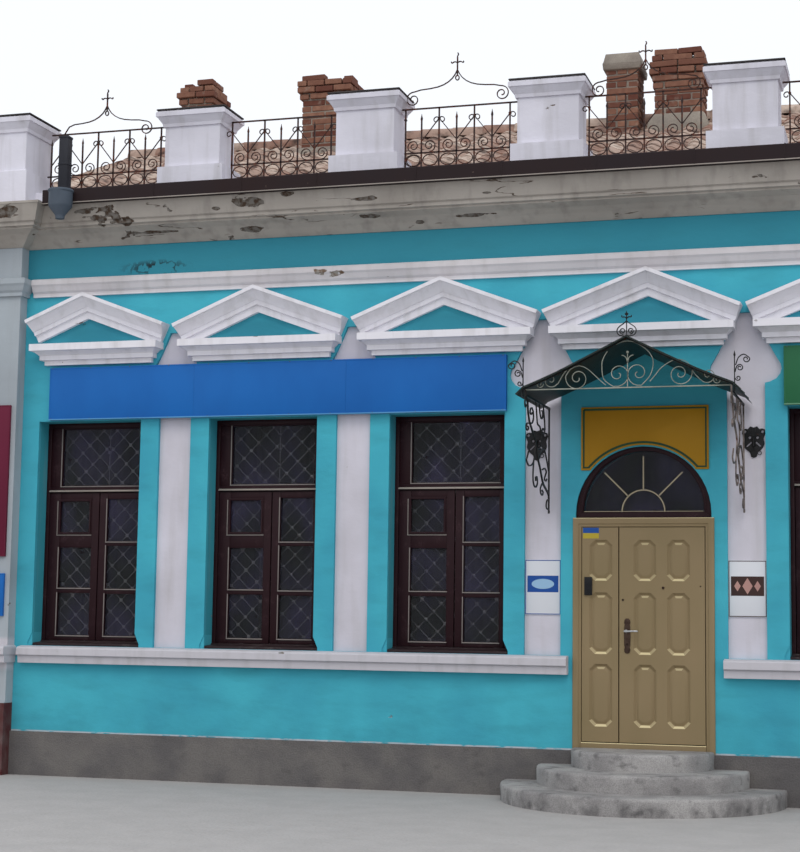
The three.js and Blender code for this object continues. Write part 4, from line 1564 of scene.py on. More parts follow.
@dataclass
class Roof:
    """Clay pantiles on both slopes and half-round tiles on the ridge."""

    left: float = -6.95
    right: float = 3.25
    eave: float = 0.612
    ridge_y: float = 3.7
    back: float = 7.8
    ridge_z: float = 7.24
    slope: float = 0.415
    tile: Point = (0.24, 0.37, 0.013)
    pitch: Flat = (0.217, 0.3)

    def pantile(self) -> Shape:
        """One tile: an S-shaped sheet, lower end at the origin.

        Returns:
            The tile.
        """
        wide, long, thick = self.tile
        top = [(wide * i / 8 - wide / 2, 0.03 + 0.021 * math.sin(math.tau * i / 8))
               for i in range(9)]
        under = [(u, v - thick) for u, v in reversed(top)]
        return Shape().prism(under + top, (0.0, long))

    def slope_spots(self, front: bool) -> list[Spot]:
        """Places of one slope's tiles.

        Args:
            front: the slope to the street, else the one to the back.

        Returns:
            The places.
        """
        tilt = math.atan(self.slope)
        low_y = self.eave if front else self.back
        run = abs(self.ridge_y - low_y) / math.cos(tilt)
        rows = math.ceil(run / self.pitch[1])
        columns = math.floor((self.right - self.left) / self.pitch[0])
        spots = []
        for row in range(rows):
            travel = row * run / rows
            dy = travel * math.cos(tilt)
            y = low_y + dy if front else low_y - dy
            z = self.ridge_z - abs(y - self.ridge_y) * self.slope + 0.004
            for column in range(columns):
                x = self.left + (column + 0.56) * (self.right - self.left) / columns
                spots.append(Spot((x, y, z), (tilt - 0.035, 0, 0 if front else math.pi)))
        return spots

    def build(self) -> None:
        """Lay both slopes and the ridge."""
        for label, front in (("front", True), ("back", False)):
            tiles = copied(self.pantile(), self.slope_spots(front), 0.003, 0.012,
                           seed=5 + front)
            settle(tiles, f"roof_tiles_{label}", Looks.TILE)
        cap = Shape().prism(arc((0, 0), 0.125, 0, 180, 10) + arc((0, 0), 0.108, 180, 0, 10),
                            (-0.205, 0.205), Axis.X)
        count = 27
        step = (self.right - self.left) / count
        spots = [Spot((self.left + (i + 0.5) * step, self.ridge_y, self.ridge_z - 0.012),
                      (0, 0.03, 0)) for i in range(count)]
        settle(copied(cap, spots, 0.003, 0.01, seed=9), "ridge_tiles", Looks.TILE)


@dataclass
class RainGoods:
    """Painted zinc: parapet gutter with seams, rain hopper and vent duct."""

    gutter: Sequence[Flat] = ((-0.4, 5.648), (-0.4, 5.788), (-0.392, 5.796), (-0.33, 5.796),
                              (0.0897, 5.84), (0.0897, 5.6803), (-0.3463, 5.6803),
                              (-0.3463, 5.648))
    seam: float = 0.94
    bucket: Point = (-5.7075, -0.4985, 5.44)

    def build(self) -> None:
        """Make the three of them."""
        self.roof_gutter()
        self.hopper()
        duct = Shape().box((-6.075, -5.975), (0.135, 0.235), (5.9003, 6.5))
        for z in (5.93, 6.2, 6.485):
            duct.box((-6.08, -5.97), (0.13, 0.24), (z, z + 0.02))
        duct.piece("vent_duct", Looks.DUCT, "zinc_grey", bevel=0.002)

    def roof_gutter(self) -> None:
        """Gutter sheets with standing seams, and the bare fold along their foot."""
        low, high = local_box("gutter")
        shape = Shape().prism(self.gutter, (low.x, high.x), Axis.X)
        rng = random.Random(3)
        x = low.x + 0.3
        while x < high.x:
            wide = rng.uniform(0.006, 0.01)
            shape.prism([(-0.404, 5.651), (-0.404, 5.79), (-0.395, 5.802), (-0.33, 5.802),
                         (-0.33, 5.79), (-0.39, 5.783), (-0.39, 5.651)], (x, x + wide), Axis.X)
            x += self.seam * rng.uniform(0.8, 1.1)
        shape.piece("gutter_sheets", Looks.GUTTER, "gutter_brown", replaces="gutter")
        Shape().prism([(-0.412, 5.6485), (-0.412, 5.652), (-0.4003, 5.66), (-0.4003, 5.6485)],
                      (low.x, high.x), Axis.X).piece("gutter_lip", Looks.LIP, "gutter_brown")

    def hopper(self) -> None:
        """Hopper with a rolled rim, drawn in to a short spout."""
        x, y, z = self.bucket
        hopper = Shape().turned(
            [(0.045, 0.03), (0.047, 0.06), (0.056, 0.075), (0.113, 0.15), (0.119, 0.165),
             (0.119, 0.295), (0.127, 0.302), (0.129, 0.314), (0.123, 0.324), (0.109, 0.324),
             (0.107, 0.175), (0.04, 0.1)], (x, y + 0.016, z), sides=20)
        hopper.points = [(px, max(min(py, -0.4003), -0.6), pz) for px, py, pz in hopper.points]
        hopper.piece("rain_hopper_sheet", Looks.ZINC, "zinc_grey", replaces="rain_hopper")


# Windows

@dataclass
class Window:
    """Street window: fixed frame with an upper light, two hinged sashes and a grille behind.

    Attributes:
        bay: its bay, counted from the door.
        number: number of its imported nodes.
    """

    bay: int
    number: int
    face: float = 0.2
    sashes: tuple = (
        ("left", (-0.514, 0.034), ((-0.395, -0.042, 1.376, 1.796), (-0.395, -0.042, 1.85, 2.25),
                                   (-0.395, -0.072, 2.405, 2.715))),
        ("right", (0.044, 0.514), ((0.129, 0.468, 1.376, 1.789), (0.129, 0.468, 1.843, 2.269),
                                   (0.129, 0.468, 2.315, 2.736))))
    upper: Four = (-0.395, 0.468, 2.876, 3.45)

    def name(self, part: str) -> str:
        """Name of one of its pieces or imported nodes."""
        return f"window_{self.number}_{part}"

    def build(self) -> None:
        """Make the frame, both sashes and the grille."""
        self.fixed_frame()
        for side, span, panes in self.sashes:
            self.sash(side, span, panes)
        self.grille()

    def fixed_frame(self) -> None:
        """Jambs, head, transom, upper light, beads, sill board, drip edge and plaster filler."""
        x, y = self.bay * BAY, self.face
        x0, x1, z0, z1 = self.upper
        frame_y, inner_y = (y, y + 0.09), (y + 0.012, y + 0.08)
        shape = Shape()
        for side in (-1, 1):
            jamb = [(side * 0.52, 1.3185), (side * 0.52, 3.509), (side * 0.5597, 3.5097),
                    (side * 0.5597, 1.4), (side * 0.604, 1.3), (side * 0.604, 1.3185)]
            shape.prism(shifted(jamb, x), frame_y)
        for z in ((3.462, 3.5095), (2.806, 2.858)):
            shape.box((x - 0.5195, x + 0.5195), frame_y, z)
        for a, b, c, d in ((-0.519, x0, 2.8585, 3.4615), (x1, 0.519, 2.8585, 3.4615),
                           (x0 + 0.0005, x1 - 0.0005, 2.8585, z0),
                           (x0 + 0.0005, x1 - 0.0005, z1, 3.4615)):
            shape.box((x + a, x + b), inner_y, (c, d))
        shape.piece(self.name("frame_timber"), Looks.TIMBER, "frame_timber", bevel=0.004,
                    replaces=self.name("frame"))
        Shape().prism([(0.012, 1.2703), (y + 0.09, 1.2703), (y + 0.09, 1.318), (y + 0.005, 1.318),
                       (y - 0.006, 1.322), (y - 0.026, 1.319), (y - 0.032, 1.309), (0.034, 1.298),
                       (0.018, 1.296), (0.012, 1.287)], (x - 0.556, x + 0.597), Axis.X).piece(
            self.name("sill_board"), Looks.SILL_BOARD, "frame_timber", bevel=0.004)
        Shape().prism([(y - GAP, 2.812), (y - GAP, 2.832), (y - 0.022, 2.822), (y - 0.022, 2.812)],
                      (x - 0.5195, x + 0.5195), Axis.X).piece(
            self.name("drip_edge"), Looks.LIP, "frame_timber", bevel=0.002)
        beads = Shape()
        self.bead(beads, (x + x0, x + x1, z0, z1), y + 0.012)
        beads.piece(self.name("fixed_beads"), Looks.PUTTY, "frame_timber", bevel=0.002)
        Shape().prism([(x - 0.604, 1.2703), (x - 0.5597, 1.2703), (x - 0.5597, 1.4),
                       (x - 0.604, 1.36)], (0.012, y - GAP)).piece(
            self.name("filler"), Looks.TURQUOISE, "plaster_turquoise")
        Shape().box((x + x0 - 0.004, x + x1 + 0.004), (y + 0.04, y + 0.044),
                    (z0 - 0.004, z1 + 0.004)).piece(
            self.name("upper_glass"), Looks.GLASS, "window_glass")

    def bead(self, shape: Shape, pane: Four, y: float) -> None:
        """Add the weathered beads at the foot and the left of a pane.

        Args:
            shape: the beads so far.
            pane: x0, x1, z0 and z1 of the pane.
            y: face of the timber.
        """
        x0, x1, z0, z1 = pane
        shape.prism([(y - 0.009, z0 - 0.014), (y - 0.009, z0 - 0.01), (y - GAP, z0 - 0.003),
                     (y - GAP, z0 - 0.014)], (x0 - 0.014, x1 + 0.01), Axis.X)
        shape.prism([(x0 - 0.014, y - GAP), (x0 - 0.014, y - 0.006), (x0 - 0.009, y - 0.006),
                     (x0 - 0.003, y - GAP)], (z0 - 0.009, z1 + 0.006), Axis.Z)

    def sash(self, side: str, span: Flat, panes: Sequence[tuple]) -> None:
        """Stiles, rails, beads and glass of one hinged sash.

        Args:
            side: left or right.
            span: where it begins and ends across the window.
            panes: x0, x1, z0 and z1 of its panes from the foot up.
        """
        x, y = self.bay * BAY, self.face
        depth = (y, y + 0.032)
        left = min(p[0] for p in panes)
        right = max(p[1] for p in panes)
        low, high = 1.324, 2.8
        shape = Shape().box((x + span[0], x + left), depth, (low, high))
        shape.box((x + right, x + span[1]), depth, (low, high))
        levels = [low, *[z for p in panes for z in p[2:]], high]
        for z0, z1 in zip(levels[::2], levels[1::2]):
            shape.box((x + left + 0.0004, x + right - 0.0004), (y + 0.002, y + 0.03), (z0, z1))
        beads = Shape()
        for x0, x1, z0, z1 in panes:
            if x1 < right:
                shape.box((x + x1, x + right - 0.0004), (y + 0.002, y + 0.03), (z0, z1))
                x0, x1, z0 = x0 - 0.02, x1 + 0.02, z0 - 0.02
                shape.border([(0, y - 0.009), (0, y + 0.0015), (0.02, y + 0.0015),
                              (0.02, y - 0.005)], (x + x0, x + x1, z0, z1 + 0.02))
            self.bead(beads, (x + x0, x + x1, z0, z1), y + 0.002)
        node = self.name(f"{side}_sash")
        body = self.name(side)
        shape.piece(f"{node}_timber", Looks.TIMBER, "frame_timber", body, 0.004, node)
        beads.piece(f"{node}_beads", Looks.PUTTY, "frame_timber", body, 0.0015)
        glass = Shape()
        for x0, x1, z0, z1 in panes:
            glass.box((x + x0 - 0.004, x + x1 + 0.004), (y + 0.0323, y + 0.0355),
                      (z0 - 0.004, z1 + 0.004))
        glass.piece(f"{node}_panes", Looks.GLASS, "window_glass", body,
                    replaces=f"{node}_glass")

    def grille(self) -> None:
        """Slanting grille with rosettes, the same on both sides of its upright bar."""
        x, y = self.bay * BAY + 0.03, self.face + 0.22
        z0, z1, half = 1.3, 3.49, 0.5
        rising = [2.925 + 0.152 * i for i in range(-14, 4)]
        falling = [3.067 + 0.232 * i for i in range(-8, 5)]
        paths = [[(0.0, z0), (0.0, z1)]]
        knots = [(0.0, z) for z in rising if z0 < z < z1]
        for z in rising:
            start, stop = max(0.0, z0 - z), min(half, z1 - z)
            if start < stop:
                paths.append([(start, z + start), (stop, z + stop)])
            knots += [((e - z) / 2, (e + z) / 2) for e in falling
                      if 0.02 < (e - z) / 2 < half and z0 < (e + z) / 2 < z1]
        for z in falling:
            start, stop = max(0.0, z - z1), min(half, z - z0)
            if start < stop:
                paths.append([(start, z - start), (stop, z - stop)])
        paths += [mirrored(path) for path in paths[1:]]
        knots += mirrored(knots)
        bars = forged([shifted(path, x) for path in paths], y, 0.008, 0.005)
        flower = Shape().turned([(0.008, 0.006), (0.016, 0.003), (0.019, -0.001), (0.012, -0.006),
                                 (0.005, -0.008)], axis=Axis.Y, sides=8)
        flowers = copied(flower, [Spot((x + u, y - 0.004, v)) for u, v in knots])
        settle(merged("grille", [bars, flowers]), self.name("grille"), Looks.GREY_IRON)


# Entrance

@dataclass
class Door:
    """Steel door: moulded frame, two pressed leaves, lever handle and lock box."""

    frame_half: float = 0.64
    frame_top: float = 2.52
    foot: float = 0.4253
    hole_half: float = 0.56
    sill: float = 0.5
    depth: Flat = (-0.01, 0.03)
    leaf_z: Flat = (0.508, 2.432)
    rows: tuple[Flat, ...] = ((0.644, 1.202), (1.29, 1.844), (1.95, 2.32))
    narrow: tuple[Flat, ...] = ((-0.486, -0.277),)
    wide: tuple[Flat, ...] = ((-0.084, 0.12), (0.217, 0.422))
    chamfer: float = 0.05
    crease: float = 20.0

    def build(self) -> None:
        """Make the frame, the leaves and their fittings."""
        self.frame()
        self.leaf("narrow", (-0.554, -0.223), self.narrow)
        self.leaf("wide", (-0.213, 0.554), self.wide)
        self.handle()
        self.lock()
        for label, look, low, high in (("upper", Looks.BLUE_FILM, 2.381, 2.43),
                                       ("lower", Looks.YELLOW_FILM, 2.332, 2.3807)):
            Shape().box((-0.546, -0.4), (-0.0109, -0.0103), (low, high)).piece(
                f"door_sticker_{label}", look, "sign_blue", "door_narrow")

    def frame(self) -> None:
        """Moulded frame with mitred corners, and its sill."""
        profile = [(0, 0.11), (0, -0.01), (0.006, -0.0175), (0.014, -0.02), (0.05, -0.02),
                   (0.054, -0.017), (0.057, -0.011), (0.066, -0.009), (0.073, -0.011),
                   (0.078, -0.009), (0.08, -0.004), (0.08, 0.0365), (0.105, 0.0365), (0.105, 0.11)]
        shape = Shape().border(profile, (-self.frame_half, self.frame_half, self.foot,
                                         self.frame_top), sides=3, head=1.02)
        shape.prism([(-0.02, self.foot), (-0.02, self.sill - 0.006), (-0.014, self.sill),
                     (0.037, self.sill), (0.037, self.sill - 0.012), (0.11, self.sill - 0.012),
                     (0.11, self.foot)], (-self.hole_half + GAP, self.hole_half - GAP), Axis.X)
        shape.piece("door_frame_steel", Looks.DOOR, "door_steel", replaces="door_frame")

    def octagon(self, panel: tuple, inset: float, y: float) -> list[Point]:
        """Long octagon of a panel, inset, at a depth.

        Args:
            panel: x span and z span of the panel.
            inset: how far inside the panel it lies.
            y: its depth.

        Returns:
            Eight points, from the lower left corner round.
        """
        (x0, x1), (z0, z1) = panel
        x0, x1, z0, z1 = x0 + inset, x1 - inset, z0 + inset, z1 - inset
        c = self.chamfer - inset * 0.4
        flat = [(x0 + c, z0), (x1 - c, z0), (x1, z0 + c), (x1, z1 - c), (x1 - c, z1),
                (x0 + c, z1), (x0, z1 - c), (x0, z0 + c)]
        return [(u, y, v) for u, v in flat]

    def leaf(self, side: str, span: Flat, columns: Sequence[Flat]) -> None:
        """One pressed leaf.

        Args:
            side: narrow or wide.
            span: its edges.
            columns: x spans of its panels.
        """
        front, back = self.depth
        edges_x = [span[0], *[(a[1] + b[0]) / 2 for a, b in zip(columns, columns[1:])], span[1]]
        edges_z = [self.leaf_z[0], *[(a[1] + b[0]) / 2 for a, b in zip(self.rows, self.rows[1:])],
                   self.leaf_z[1]]
        sheet = Shape()
        for i, column in enumerate(columns):
            for k, row in enumerate(self.rows):
                cell = (edges_x[i], edges_x[i + 1], edges_z[k], edges_z[k + 1])
                self.panel(sheet, cell, (column, row), front)
        sheet.backed(back)
        leaf = sheet.piece(f"door_leaf_{side}_steel", Looks.DOOR, "door_steel", f"door_{side}",
                           replaces=f"door_leaf_{side}")
        leaf.data.set_sharp_from_angle(angle=math.radians(self.crease))

    def panel(self, sheet: Shape, cell: tuple, panel: tuple, y: float) -> None:
        """Add a cell of a leaf's front with its pressed octagon.

        Args:
            sheet: the front so far.
            cell: x0, x1, z0 and z1 of the cell.
            panel: x span and z span of the octagon.
            y: depth of the front.
        """
        x0, x1, z0, z1 = cell
        rings = [self.octagon(panel, inset, y + depth) for inset, depth in (
            (0, 0), (0.002, 0.0022), (0.02, 0.0172), (0.023, 0.018), (0.027, 0.018),
            (0.046, 0.008), (0.049, 0.0075))]
        eight = rings[0]
        rim = [(eight[0][0], y, z0), (eight[1][0], y, z0), (x1, y, z0), (x1, y, eight[2][2]),
               (x1, y, eight[3][2]), (x1, y, z1), (eight[4][0], y, z1), (eight[5][0], y, z1),
               (x0, y, z1), (x0, y, eight[6][2]), (x0, y, eight[7][2]), (x0, y, z0)]
        faces = [(0, 1, 13, 12), (1, 2, 3, 14, 13), (3, 4, 15, 14), (4, 5, 6, 16, 15),
                 (6, 7, 17, 16), (7, 8, 9, 18, 17), (9, 10, 19, 18), (10, 11, 0, 12, 19)]
        sheet.add(rim + eight, faces)
        field_faces = []
        for r in range(len(rings) - 1):
            field_faces += [(r * 8 + i, r * 8 + (i + 1) % 8, r * 8 + 8 + (i + 1) % 8,
                             r * 8 + 8 + i) for i in range(8)]
        last = (len(rings) - 1) * 8
        field_faces.append(tuple(range(last, last + 8)))
        sheet.add([p for ring in rings for p in ring], field_faces)

    def handle(self) -> None:
        """Lever on its long plate, keyhole shields and viewer."""
        y = self.depth[0] - GAP
        plate = Shape()
        middle = -0.1405
        half = [(0.012, 1.3), (0.024, 1.312), (0.028, 1.335), (0.022, 1.352), (0.027, 1.372),
                (0.029, 1.455), (0.027, 1.538), (0.022, 1.558), (0.028, 1.575), (0.024, 1.598),
                (0.012, 1.612)]
        outline = [(middle + u, v) for u, v in half] + [(middle - u, v) for u, v in reversed(half)]
        inner = [(middle + (u - middle) * 0.82, 1.456 + (v - 1.456) * 0.975) for u, v in outline]
        plate.loft([[(u, y, v) for u, v in outline], [(u, y - 0.005, v) for u, v in outline],
                    [(u, y - 0.009, v) for u, v in inner]])
        plate.piece("door_handle_plate", Looks.PLATE, "lever_steel", "door_wide",
                    replaces="door_handle")
        lever = Shape().turned([(0.0145, -0.009), (0.0145, -0.015), (0.009, -0.019),
                                (0.009, -0.05)], (-0.15, y, 1.497), Axis.Y)
        rings = []
        for u, v, out, tall, thick in (
                (-0.164, 1.497, -0.052, 0.009, 0.006), (-0.15, 1.497, -0.054, 0.01, 0.007),
                (-0.12, 1.4975, -0.055, 0.009, 0.006), (-0.08, 1.499, -0.054, 0.008, 0.005),
                (-0.05, 1.499, -0.052, 0.009, 0.0055), (-0.038, 1.497, -0.046, 0.006, 0.004)):
            rings.append([(u, y + out + thick * c, v + tall * s)
                          for c, s in arc((0, 0), 1, 0, 330, 11)])
        lever.loft(rings)
        lever.piece("door_lever", Looks.LEVER, "lever_steel", "door_wide")
        small = Shape()
        for u, v, radius, out in ((middle, 1.384, 0.01, -0.009), (0.183, 1.889, 0.012, 0.0),
                                  (-0.18, 1.778, 0.01, 0.0), (0.516, 1.905, 0.006, 0.0)):
            rim = [(radius, 0), (radius, -0.005), (radius * 0.75, -0.007), (radius * 0.5, -0.005),
                   (radius * 0.4, -0.002)]
            small.turned([(r, h + out) for r, h in rim], (u, y, v), Axis.Y, 16)
        small.piece("door_viewer_and_keyholes", Looks.PLATE, "lever_steel", "door_wide")

    def lock(self) -> None:
        """Black lock box with a keypad panel."""
        y = self.depth[0] - GAP
        shape = Shape().box((-0.53, -0.46), (y - 0.018, y), (1.818, 1.982))
        shape.box((-0.521, -0.469), (y - 0.0205, y - 0.0182), (1.9, 1.972))
        for row in range(3):
            for column in range(3):
                u, v = -0.511 + column * 0.016, 1.83 + row * 0.02
                shape.box((u - 0.005, u + 0.005), (y - 0.0205, y - 0.0182), (v - 0.005, v + 0.007))
        shape.piece("lock_box_plastic", Looks.BLACK_PLASTIC, "plastic_black", "door_narrow",
                    0.002, "lock_box")


@dataclass
class Fanlight:
    """Half-round light over the door, on short upright sides, with a cream hub and three rays."""

    base: float = 2.5206
    foot: float = 2.575
    outer: Flat = (2.555, 0.6147)
    inner: Flat = (2.58, 0.55)
    hub: float = 0.194
    ray: float = 0.5
    depth: Flat = (0.02, 0.08)

    @staticmethod
    def curve(middle: float, radius: float, foot: float, steps: int = 40) -> Path:
        """Half round on upright sides, from its right foot to its left one.

        Args:
            middle: height of its centre.
            radius: its radius.
            foot: where its sides begin.
            steps: number of its sides.

        Returns:
            Its points.
        """
        return [(radius, foot), *arc((0, middle), radius, 0, 180, steps), (-radius, foot)]

    def build(self) -> None:
        """Make the timber ring, the cream bars and the glass."""
        foot = self.foot
        (outer_z, outer), (inner_z, inner) = self.outer, self.inner
        ring = self.curve(outer_z, outer, self.base) + self.curve(inner_z, inner, foot)[::-1]
        shape = Shape().prism(ring, self.depth)
        shape.prism([(-outer, self.base), (outer, self.base), (inner + 0.002, foot),
                     (-inner - 0.002, foot)], (0.024, 0.078))
        lip = self.curve(inner_z, inner + 0.018, foot) + self.curve(inner_z, inner, foot)[::-1]
        shape.prism(lip, (0.012, 0.0197))
        shape.piece("fanlight_timber", Looks.TIMBER, "frame_timber", bevel=0.003,
                    replaces="fanlight_frame")
        paths = [self.curve(inner_z, self.hub, foot, 20)]
        for angle in (45, 90, 135):
            c, s = math.cos(math.radians(angle)), math.sin(math.radians(angle))
            paths.append([(r * c, inner_z + r * s) for r in (self.hub, self.ray)])
        bars = forged(paths, 0.036, 0.02, 0.0115)
        bead_line = forged([[(-inner + 0.01, foot + 0.004), (inner - 0.01, foot + 0.004)]], 0.02,
                           0.006, 0.005)
        settle(merged("bars", [bars, bead_line]), "fanlight_bars", Looks.CREAM)
        pane = self.curve(inner_z, inner + 0.003, foot - 0.003, 24)
        Shape().prism(pane, (0.048, 0.052)).piece("fanlight_glass", Looks.GLASS, "window_glass")


@dataclass
class Boards:
    """Blank painted boards and plaques on the street front."""

    def build(self) -> None:
        """Make the fascia boards, the arched board, the plaques and the pilaster's boards."""
        self.fascia("fascia_board_left", Looks.BLUE, "sign_blue", 3)
        self.fascia("fascia_board_right", Looks.GREEN, "sign_green", 1)
        self.arched()
        self.plaque("plaque_left", Looks.BLUE_FILM)
        self.plaque("plaque_right", Looks.BROWN_FILM)
        x = local_box("pilaster_left")[0].x
        for name, look, slot, z0, z1 in (
                ("pilaster_board_red", Looks.RED, "sign_ochre", 2.146, 3.665),
                ("pilaster_board_blue", Looks.BLUE, "sign_blue", 1.555, 1.978)):
            board = Shape().box((x + 0.03, -6.352), (-0.1653, -0.1403), (z0, z1))
            board.border([(0, -0.169), (0, -0.1656), (0.012, -0.1656), (0.012, -0.167)],
                         (x + 0.03, -6.352, z0, z1))
            board.piece(name, look, slot, bevel=0.002)

    def fascia(self, node: str, look: Looks, slot: str, sheets: int) -> None:
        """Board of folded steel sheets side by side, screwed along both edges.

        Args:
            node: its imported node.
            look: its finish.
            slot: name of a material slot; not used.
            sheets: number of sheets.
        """
        low, high = local_box(node)
        shape = Shape()
        step = (high.x - low.x) / sheets
        for i in range(sheets):
            x0, x1 = low.x + i * step, low.x + (i + 1) * step
            shape.box((x0 + 0.0006, x1 - 0.0006), (low.y + 0.002, high.y), (low.z, high.z))
        shape.border([(0, low.y), (0, low.y + 0.0017), (0.014, low.y + 0.0017), (0.014, low.y)],
                     (low.x, high.x, low.z, high.z))
        shape.piece(f"{node}_sheets", look, slot, bevel=0.0015, replaces=node)
        head = Shape().turned([(0.006, 0), (0.006, -0.002), (0.003, -0.0035)], axis=Axis.Y,
                              sides=10)
        count = round((high.x - low.x) / 0.42)
        spots = [Spot((low.x + 0.03 + i * (high.x - low.x - 0.06) / count, low.y - 0.0001, z))
                 for i in range(count + 1) for z in (low.z + 0.007, high.z - 0.007)]
        settle(copied(head, spots), f"{node}_screws", Looks.ZINC)
        edge = Shape().prism([(low.y - 0.004, low.z - 0.003), (low.y - 0.004, low.z + 0.006),
                              (low.y - 0.0005, low.z + 0.006), (low.y - 0.0005, low.z - 0.0005),
                              (high.y, low.z - 0.0005), (high.y, low.z - 0.003)],
                             (low.x, high.x), Axis.X)
        edge_look = Looks.BLUE_EDGE if look is Looks.BLUE else Looks.GREEN_EDGE
        edge.piece(f"{node}_lower_fold", edge_look, slot)

    def arched(self) -> None:
        """Ochre board over the fanlight, with a dark line round it."""
        low, high = local_box("arch_board")
        centre, radius, line = (0.0, 2.555), 0.627, 0.024
        curve, inner = (arc(centre, r, 139, 41, 24) for r in (radius, radius + line))
        outline = [(low.x, high.z), (low.x, low.z), (curve[0][0], low.z), *curve,
                   (curve[-1][0], low.z), (high.x, low.z), (high.x, high.z)]
        shape = Shape().prism(outline, (low.y, high.y))
        shape.piece("arch_board_sheet", Looks.OCHRE, "sign_ochre", bevel=0.002,
                    replaces="arch_board")
        inner = [p for p in inner if p[1] > low.z + line]
        path = [(low.x + line, high.z - line), (low.x + line, low.z + line),
                (inner[0][0], low.z + line), *inner, (inner[-1][0], low.z + line),
                (high.x - line, low.z + line), (high.x - line, high.z - line),
                (low.x + line, high.z - line)]
        bars = forged([path], low.y - 0.0012, 0.0018, 0.02)
        settle(bars, "arch_board_line", Looks.OLIVE)

    def plaque(self, node: str, film: Looks) -> None:
        """White plaque with a thin border line and a band of film, both blank.

        Args:
            node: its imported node.
            film: finish of the line and the band.
        """
        low, high = local_box(node)
        Shape().box(*zip(low, high)).piece(
            f"{node}_plastic", Looks.WHITE_PLATE, "plaque_white", bevel=0.003, replaces=node)
        face = low.y - GAP
        shape = Shape().border([(0.004, face - 0.0006), (0.004, face), (0.011, face),
                                (0.011, face - 0.0006)], (low.x, high.x, low.z, high.z))
        blue = film is Looks.BLUE_FILM
        band = (low.z + (0.206 if blue else 0.189), low.z + (0.357 if blue else 0.361))
        middle = (low.x + high.x) / 2
        shape.box((middle - 0.145, middle + 0.145), (face - 0.0006, face), band)
        shape.piece(f"{node}_film", film, "sign_blue" if blue else "sign_ochre")
        marks = Shape()
        centre = sum(band) / 2
        if blue:
            ring = [(middle + 0.105 * c, centre + 0.046 * s)
                    for c, s in arc((0, 0), 1, 0, 350, 35)]
            marks.prism(ring, (face - 0.0012, face - 0.0008))
        else:
            for i, size in ((-1, 0.8), (0, 1.25), (1, 0.8)):
                u = middle + i * 0.088
                marks.prism([(u - 0.036 * size, centre), (u, centre - 0.058 * size),
                             (u + 0.036 * size, centre), (u, centre + 0.058 * size)],
                            (face - 0.0012, face - 0.0008))
        marks.piece(f"{node}_pattern", Looks.PALE_FILM if blue else Looks.ROSE_FILM,
                    "plaque_white")


# Ironwork

def swirl(centre: Flat, outer: float, inner: float, start: float, sweep: float,
          squeeze: float = 1.0) -> Path:
    """Path that winds about a centre while its radius changes.

    Args:
        centre: what it winds about.
        outer: radius at its start.
        inner: radius at its end.
        start: angle at its start, in degrees.
        sweep: angle that it covers, in degrees; negative to the right.
        squeeze: height of the swirl as a share of its width.

    Returns:
        The points of its path.
    """
    steps = max(6, round(abs(sweep) / 20))
    path = []
    for i in range(steps + 1):
        angle = math.radians(start + sweep * i / steps)
        radius = outer + (inner - outer) * i / steps
        path.append((centre[0] + radius * math.cos(angle),
                     centre[1] + radius * math.sin(angle) * squeeze))
    return path


